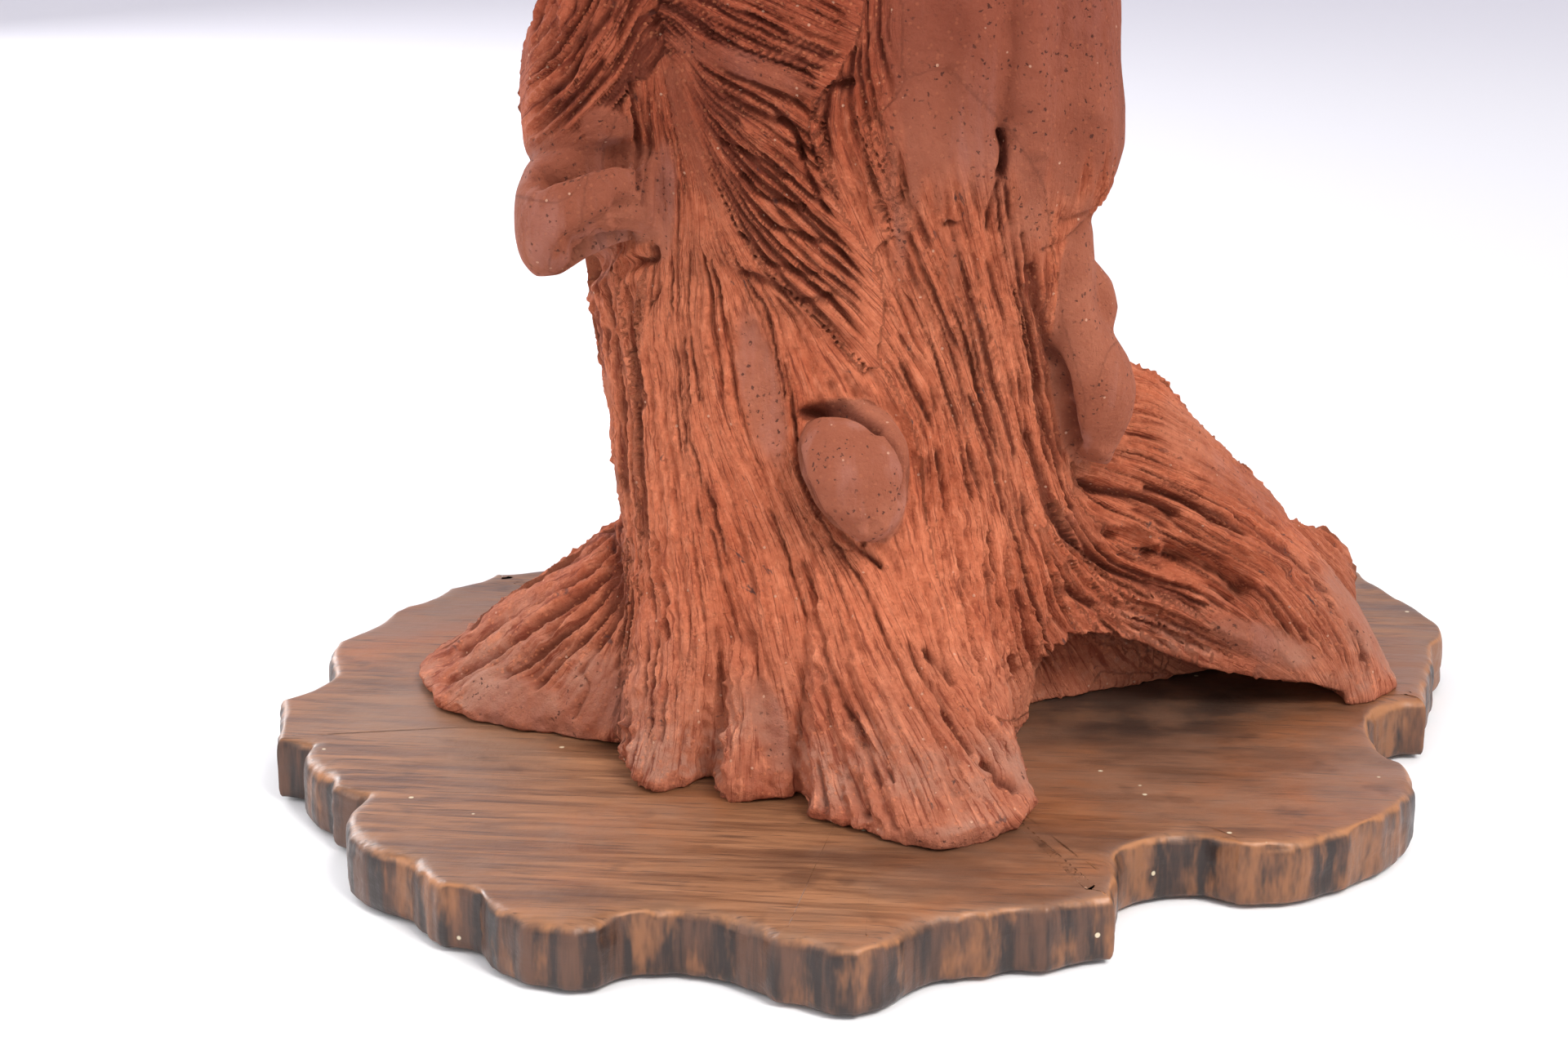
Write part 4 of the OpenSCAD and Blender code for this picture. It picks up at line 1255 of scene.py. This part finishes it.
def terracotta():
    """Fired grogged clay: orange-red, dusty low down, with painted shade in the grooves and towards
    the top.
    """
    s = Shader("terracotta")
    obj = s.obj
    carved = s.attribute("carved").outputs["Fac"]
    kept = s.attribute("kept").outputs["Fac"]
    comb = s.attribute("comb").outputs["Vector"]
    height = s.node("SeparateXYZ", {"Vector": obj}).outputs[2]
    broad = s.noise(obj, 22.0, 4.0)
    fine = s.noise(obj, 420.0, 4.0, 0.7)
    color = s.mix(s.band(broad, 0.35, 0.65), srgb(190, 103, 69), srgb(213, 128, 91))
    color = s.mix(s.band(fine, 0.3, 0.7, 0.0, 0.45), color, srgb(166, 78, 50))
    smooth = s.math("SUBTRACT", 1.0, kept)
    color = s.mix(s.times(smooth, 0.85), color,
                  s.mix(s.band(broad, 0.35, 0.65), srgb(146, 84, 62), srgb(168, 104, 80)))
    up = s.node("SeparateXYZ", {"Vector": s.node("NewGeometry").outputs["Normal"]}).outputs[2]
    smear = s.band(s.noise(s.place((70.0, 70.0, 9.0), obj), 1.0, 4.0, 0.6), 0.5, 0.68, 0.0, 0.5)
    color = s.mix(s.times(smear, smooth), color, srgb(178, 122, 108))
    low = s.times(s.band(height, 0.075, 0.022), s.band(up, 0.0, 0.55, 0.15, 1.0))
    dusty = s.times(low, s.band(s.noise(obj, 45.0, 4.0, 0.6), 0.38, 0.66, 0.1, 0.85))
    color = s.mix(s.band(height, 0.085, 0.03, 0.0, 0.4), color, srgb(136, 84, 66))
    color = s.mix(dusty, color, srgb(172, 126, 106))
    streak_place = s.place((0.9, 0.10, 1.0), comb)
    streak = s.noise(streak_place, 1.0, 4.0, 0.65)
    worked = s.times(kept, 0.55)
    color = s.mix(s.times(worked, s.band(streak, 0.52, 0.68)), color, srgb(222, 142, 106))
    color = s.mix(s.times(worked, s.band(streak, 0.48, 0.32)), color, srgb(138, 62, 40))
    # Painted shade: the grooves and cuts painted dark where they shade themselves.
    color = s.mix(s.band(carved, 0.12, 0.8, 0.0, 0.75), color, srgb(96, 40, 26))
    hair = s.noise(s.place((2.3, 0.05, 1.0), comb), 1.0, 3.0, 0.6)
    color = s.mix(s.times(kept, s.band(hair, 0.47, 0.35, 0.0, 0.75)), color,
                  srgb(122, 52, 33))
    soot_place = s.place((0.5, 0.16, 1.0), comb)
    soot = s.band(s.noise(soot_place, 1.0, 3.0, 0.7), 0.62, 0.70)
    soot = s.times(soot, s.band(s.noise(obj, 34.0, 2.0), 0.46, 0.62))
    soot = s.times(soot, kept)
    color = s.mix(s.times(soot, 0.8), color, srgb(70, 56, 56))
    jitter = s.node("TexNoise", {"Vector": obj, "Scale": 900.0, "Detail": 1.0}).outputs["Color"]
    rough_place = s.node("VectorMath", {0: jitter, 1: (0.0022, 0.0022, 0.0022)},
                         operation="MULTIPLY").outputs[0]
    rough_place = s.node("VectorMath", {0: obj, 1: rough_place}, operation="ADD").outputs[0]
    pits = s.specks(rough_place, 480.0, 0.29, 0.62)
    gather = s.band(s.noise(obj, 75.0, 3.0), 0.42, 0.56, 0.2, 1.0)
    pits = s.times(s.times(pits, gather), s.band(kept, 0.9, 0.2, 0.3, 1.0))
    color = s.mix(s.times(pits, 0.8), color, srgb(70, 40, 34))
    # Painted shade: the clay darkened towards its top, where less light falls.
    color = s.mix(s.band(height, 0.16, 0.27, 0.0, 0.62), color, srgb(168, 96, 76), "MULTIPLY")
    grains = s.specks(obj, 300.0, 0.17, 0.12)
    color = s.mix(s.times(grains, 0.7), color, srgb(214, 166, 138))
    grog = s.specks(obj, 520.0, 0.34, 0.45)
    color = s.mix(s.times(grog, s.band(kept, 0.0, 1.0, 0.14, 0.4)), color, srgb(212, 128, 88))
    rough_skin = s.band(kept, 0.0, 1.0, 0.35, 1.0)
    bump = s.bump(fine, 0.0015, 0.9)
    bump = s.bump(s.times(grog, rough_skin), 0.0004, 0.5, bump)
    bump = s.bump(streak, 0.0009, 0.5, bump)
    bump = s.bump(s.times(hair, s.band(kept, 0.0, 0.6, 0.15, 1.0)), 0.0010, 0.7, bump)
    bump = s.bump(s.math("SUBTRACT", grains, pits), 0.0004, 0.6, bump)
    return s.finish(color, s.band(fine, 0.3, 0.7, 0.82, 0.95), bump,
                    Specular_IOR_Level=0.25, Diffuse_Roughness=0.6)


def stained_wood():
    """The board: worn brown stain with left-to-right grain, nearly black at the edge."""
    s = Shader("stained_wood")
    obj = s.obj
    parts = s.node("SeparateXYZ", {"Vector": obj}).outputs
    up = s.node("SeparateXYZ", {"Vector": s.node("NewGeometry").outputs["Normal"]}).outputs[2]
    bent = s.node("Mapping", {"Vector": obj, "Rotation": (0, 0, 0.10)}).outputs[0]
    grain = s.noise(s.place((14.0, 170.0, 170.0), bent), 1.0, 6.0, 0.62, 0.8)
    pores = s.noise(s.place((45.0, 900.0, 900.0), bent), 1.0, 3.0, 0.6)
    clouds = s.noise(obj, 9.0, 4.0, 0.55)
    color = s.mix(s.band(grain, 0.3, 0.7), srgb(98, 63, 41), srgb(160, 110, 74))
    color = s.mix(s.band(clouds, 0.42, 0.62, 0.0, 0.8), color, srgb(158, 94, 54))
    color = s.mix(s.band(pores, 0.56, 0.68, 0.0, 0.7), color, srgb(58, 32, 20))
    grey = s.band(s.noise(obj, 17.0, 5.0, 0.6), 0.42, 0.66, 0.05, 0.6)
    color = s.mix(grey, color, srgb(132, 104, 86))
    dark = s.band(s.noise(s.place((11.0, 26.0, 26.0), bent), 1.0, 5.0, 0.6), 0.5, 0.68, 0.0, 0.6)
    color = s.mix(dark, color, srgb(78, 50, 35))
    # Painted shade, with some dirt: the board darkened under the right root's cave.
    near = s.node("VectorMath", {0: s.place((1.0, 1.3, 0.0), obj), 1: (0.078, 0.006, 0.0)},
                  operation="DISTANCE").outputs["Value"]
    patchy = s.band(s.noise(obj, 60.0, 4.0), 0.3, 0.6, 0.5, 0.9)
    cave_shade_and_dirt = s.times(s.band(near, 0.075, 0.03), patchy)
    color = s.mix(cave_shade_and_dirt, color, srgb(56, 44, 38))
    streak = s.noise(s.place((130.0, 130.0, 14.0), obj), 1.0, 5.0, 0.6)
    side = s.mix(s.band(streak, 0.40, 0.62), srgb(42, 30, 26), srgb(92, 61, 45))
    worn = s.noise(s.place((75.0, 75.0, 22.0), obj), 1.0, 4.0, 0.65)
    worn = s.math("ADD", worn, s.band(parts[0], -0.15, 0.19, -0.07, 0.09))
    side = s.mix(s.band(worn, 0.48, 0.66, 0.0, 0.8), side, srgb(146, 95, 60))
    edge = s.band(up, 0.45, 0.93)
    arris = s.times(s.band(up, 0.25, 0.6), s.band(up, 0.97, 0.7))
    color = s.mix(edge, side, color)
    color = s.mix(s.times(arris, s.band(worn, 0.35, 0.6, 0.1, 0.7)), color,
                  srgb(176, 116, 70))
    bare = s.times(s.band(s.noise(obj, 60.0, 3.0), 0.6, 0.72), 0.35)
    color = s.mix(bare, color, srgb(64, 40, 28))
    flecks = s.specks(obj, 95.0, 0.09, 0.16)
    color = s.mix(s.times(flecks, 0.9), color, srgb(216, 200, 170))
    rough = s.band(grain, 0.3, 0.7, 0.34, 0.52)
    bump = s.bump(grain, 0.0007, 0.35)
    bump = s.bump(pores, 0.0003, 0.35, bump)
    bump = s.bump(s.noise(s.place((260.0, 260.0, 60.0), obj), 1.0, 3.0), 0.0006, 0.35, bump)
    return s.finish(color, rough, bump, Specular_IOR_Level=0.5)


def plain(name, scale, detail, share, first, second, rough, bump=None, **constants):
    """Two tones mixed by one noise. rough is a range over that noise, or one value, and
    bump is another noise's scale and detail with the bump's distance and strength."""
    s = Shader(name)
    tone = s.noise(s.obj, scale, detail)
    color = s.mix(s.band(tone, *share), srgb(*first), srgb(*second))
    if isinstance(rough, tuple):
        rough = s.band(tone, 0.3, 0.7, *rough)
    if bump:
        bump = s.bump(s.noise(s.obj, *bump[:2]), *bump[2:])
    return s.finish(color, rough, bump, **constants)


MATERIALS = {
    "terracotta": terracotta(), "terracotta_smooth": terracotta(),
    "stained_wood": stained_wood(),
    "zinc_steel": plain("zinc_steel", 60.0, 4.0, (0.35, 0.7), (176, 178, 180), (206, 206, 202),
                        (0.30, 0.48), (900.0, 2.0, 0.00008, 0.3), Metallic=1.0),
    "bright_steel": plain("bright_steel", 180.0, 3.0, (0.4, 0.7), (196, 198, 202),
                          (160, 160, 162), (0.16, 0.32), Metallic=1.0),
    "nylon": plain("nylon", 90.0, 3.0, (0.3, 0.7), (226, 222, 208), (212, 206, 190),
                   (0.42, 0.55), (1200.0, 2.0, 0.00006, 0.3)),
    "rubber": plain("rubber", 150.0, 4.0, (0.45, 0.75), (34, 34, 36), (72, 68, 64), 0.85,
                    (1500.0, 2.0, 0.0001, 0.4)),
    "plaster": plain("plaster", 70.0, 4.0, (0.3, 0.7), (226, 220, 208), (204, 196, 182), 0.9,
                     (70.0, 4.0, 0.0006, 0.4)),
}
NODE_MATERIALS = {
    "feet": "rubber", "base_plate": "zinc_steel", "pivot_pin": "bright_steel",
    "pivot_clip": "bright_steel", "balls": "bright_steel", "ball_cage": "nylon",
    "top_plate": "zinc_steel", "plate_screws": "bright_steel", "studs": "bright_steel",
    "washers": "zinc_steel", "nuts": "zinc_steel", "plaster_core": "plaster",
}


def finish_piece(obj, slot_name, *nodes):
    obj.data.materials.clear()
    obj.data.materials.append(MATERIALS[slot_name])
    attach(obj, "turntable")
    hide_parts(*nodes)


def dress_nodes():
    for name, slot_name in NODE_MATERIALS.items():
        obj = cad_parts[name]
        obj.data.materials.clear()
        obj.data.materials.append(MATERIALS[slot_name])


# ---------------------------------------------------------------- stage, light, camera

def floor_material():
    """White floor and sweep, painted greyer towards the back as painted shade where the light falls
    off.
    """
    s = Shader("floor")
    y = s.node("SeparateXYZ", {"Vector": s.obj}).outputs[1]
    # Painted shade: the colour greys towards the back of the sweep.
    color = s.mix(s.band(y, 0.3, 2.6), (0.97, 0.97, 0.975, 1), (0.82, 0.805, 0.86, 1))
    return s.finish(color, 0.9, Specular_IOR_Level=0.0)


def make_stage():
    mesh = bpy.data.meshes.new("floor")
    profile = [(-3.0, 0.0), (0.0, 0.0)] + [(2.6 + 1.2 * math.sin(a), 1.2 * (1 - math.cos(a)))
                                           for a in np.linspace(0, math.pi / 2, 16)] + [(3.8, 4.0)]
    verts = [(x, y, z) for y, z in profile for x in (-6.0, 6.0)]
    faces = [(2 * i, 2 * i + 1, 2 * i + 3, 2 * i + 2) for i in range(len(profile) - 1)]
    mesh.from_pydata(verts, [], faces)
    for p in mesh.polygons:
        p.use_smooth = True
    mesh.materials.append(floor_material())
    add_object("floor", mesh)


def area_light(name, place, target, size, watts, color=(1, 1, 1), spread=180):
    data = bpy.data.lights.new(name, "AREA")
    data.shape, data.size, data.size_y = "RECTANGLE", size[0], size[1]
    data.energy, data.color = watts, color
    data.spread = math.radians(spread)
    obj = add_object(name, data)
    obj.location = place
    obj.rotation_euler = (Vector(target) - Vector(place)).to_track_quat("-Z", "Y").to_euler()


def make_lights():
    world = bpy.data.worlds.new("studio")
    bpy.context.scene.world = world
    world.use_nodes = True
    background = world.node_tree.nodes["Background"]
    background.inputs["Color"].default_value = (0.97, 0.96, 1.0, 1)
    background.inputs["Strength"].default_value = 0.90
    area_light("key", (0.65, -0.95, 1.15), (0.0, -0.12, -0.06), (0.7, 0.7), 1.5,
               (1.0, 0.985, 0.96), 40)
    area_light("left", (-1.2, -0.5, 0.7), (0, 0, 0.0), (0.8, 0.8), 4.5)
    area_light("back_left", (-1.3, 1.4, 0.7), (-0.1, 0, 0), (1.0, 1.0), 24)


def make_camera():
    data = bpy.data.cameras.new("camera")
    data.sensor_width, data.lens = 36.0, 65.6
    cam = add_object("camera", data)
    cam.location = (-0.03375, -0.8812, 0.3236 + BOARD_TOP * MM)
    cam.rotation_euler = (math.radians(73.5), 0, 0)
    bpy.context.scene.camera = cam
    bpy.context.scene.view_settings.view_transform = "Standard"


# ---------------------------------------------------------------- the object

clay = make_main_clay()
sculpt(clay)
for name, obj in split_clay(clay).items():
    smooth = name in SMOOTH_PIECES
    finish_piece(obj, "terracotta_smooth" if smooth else "terracotta", name)
finish_piece(make_board(), "stained_wood", "board")
dress_nodes()
make_stage()
make_lights()
make_camera()
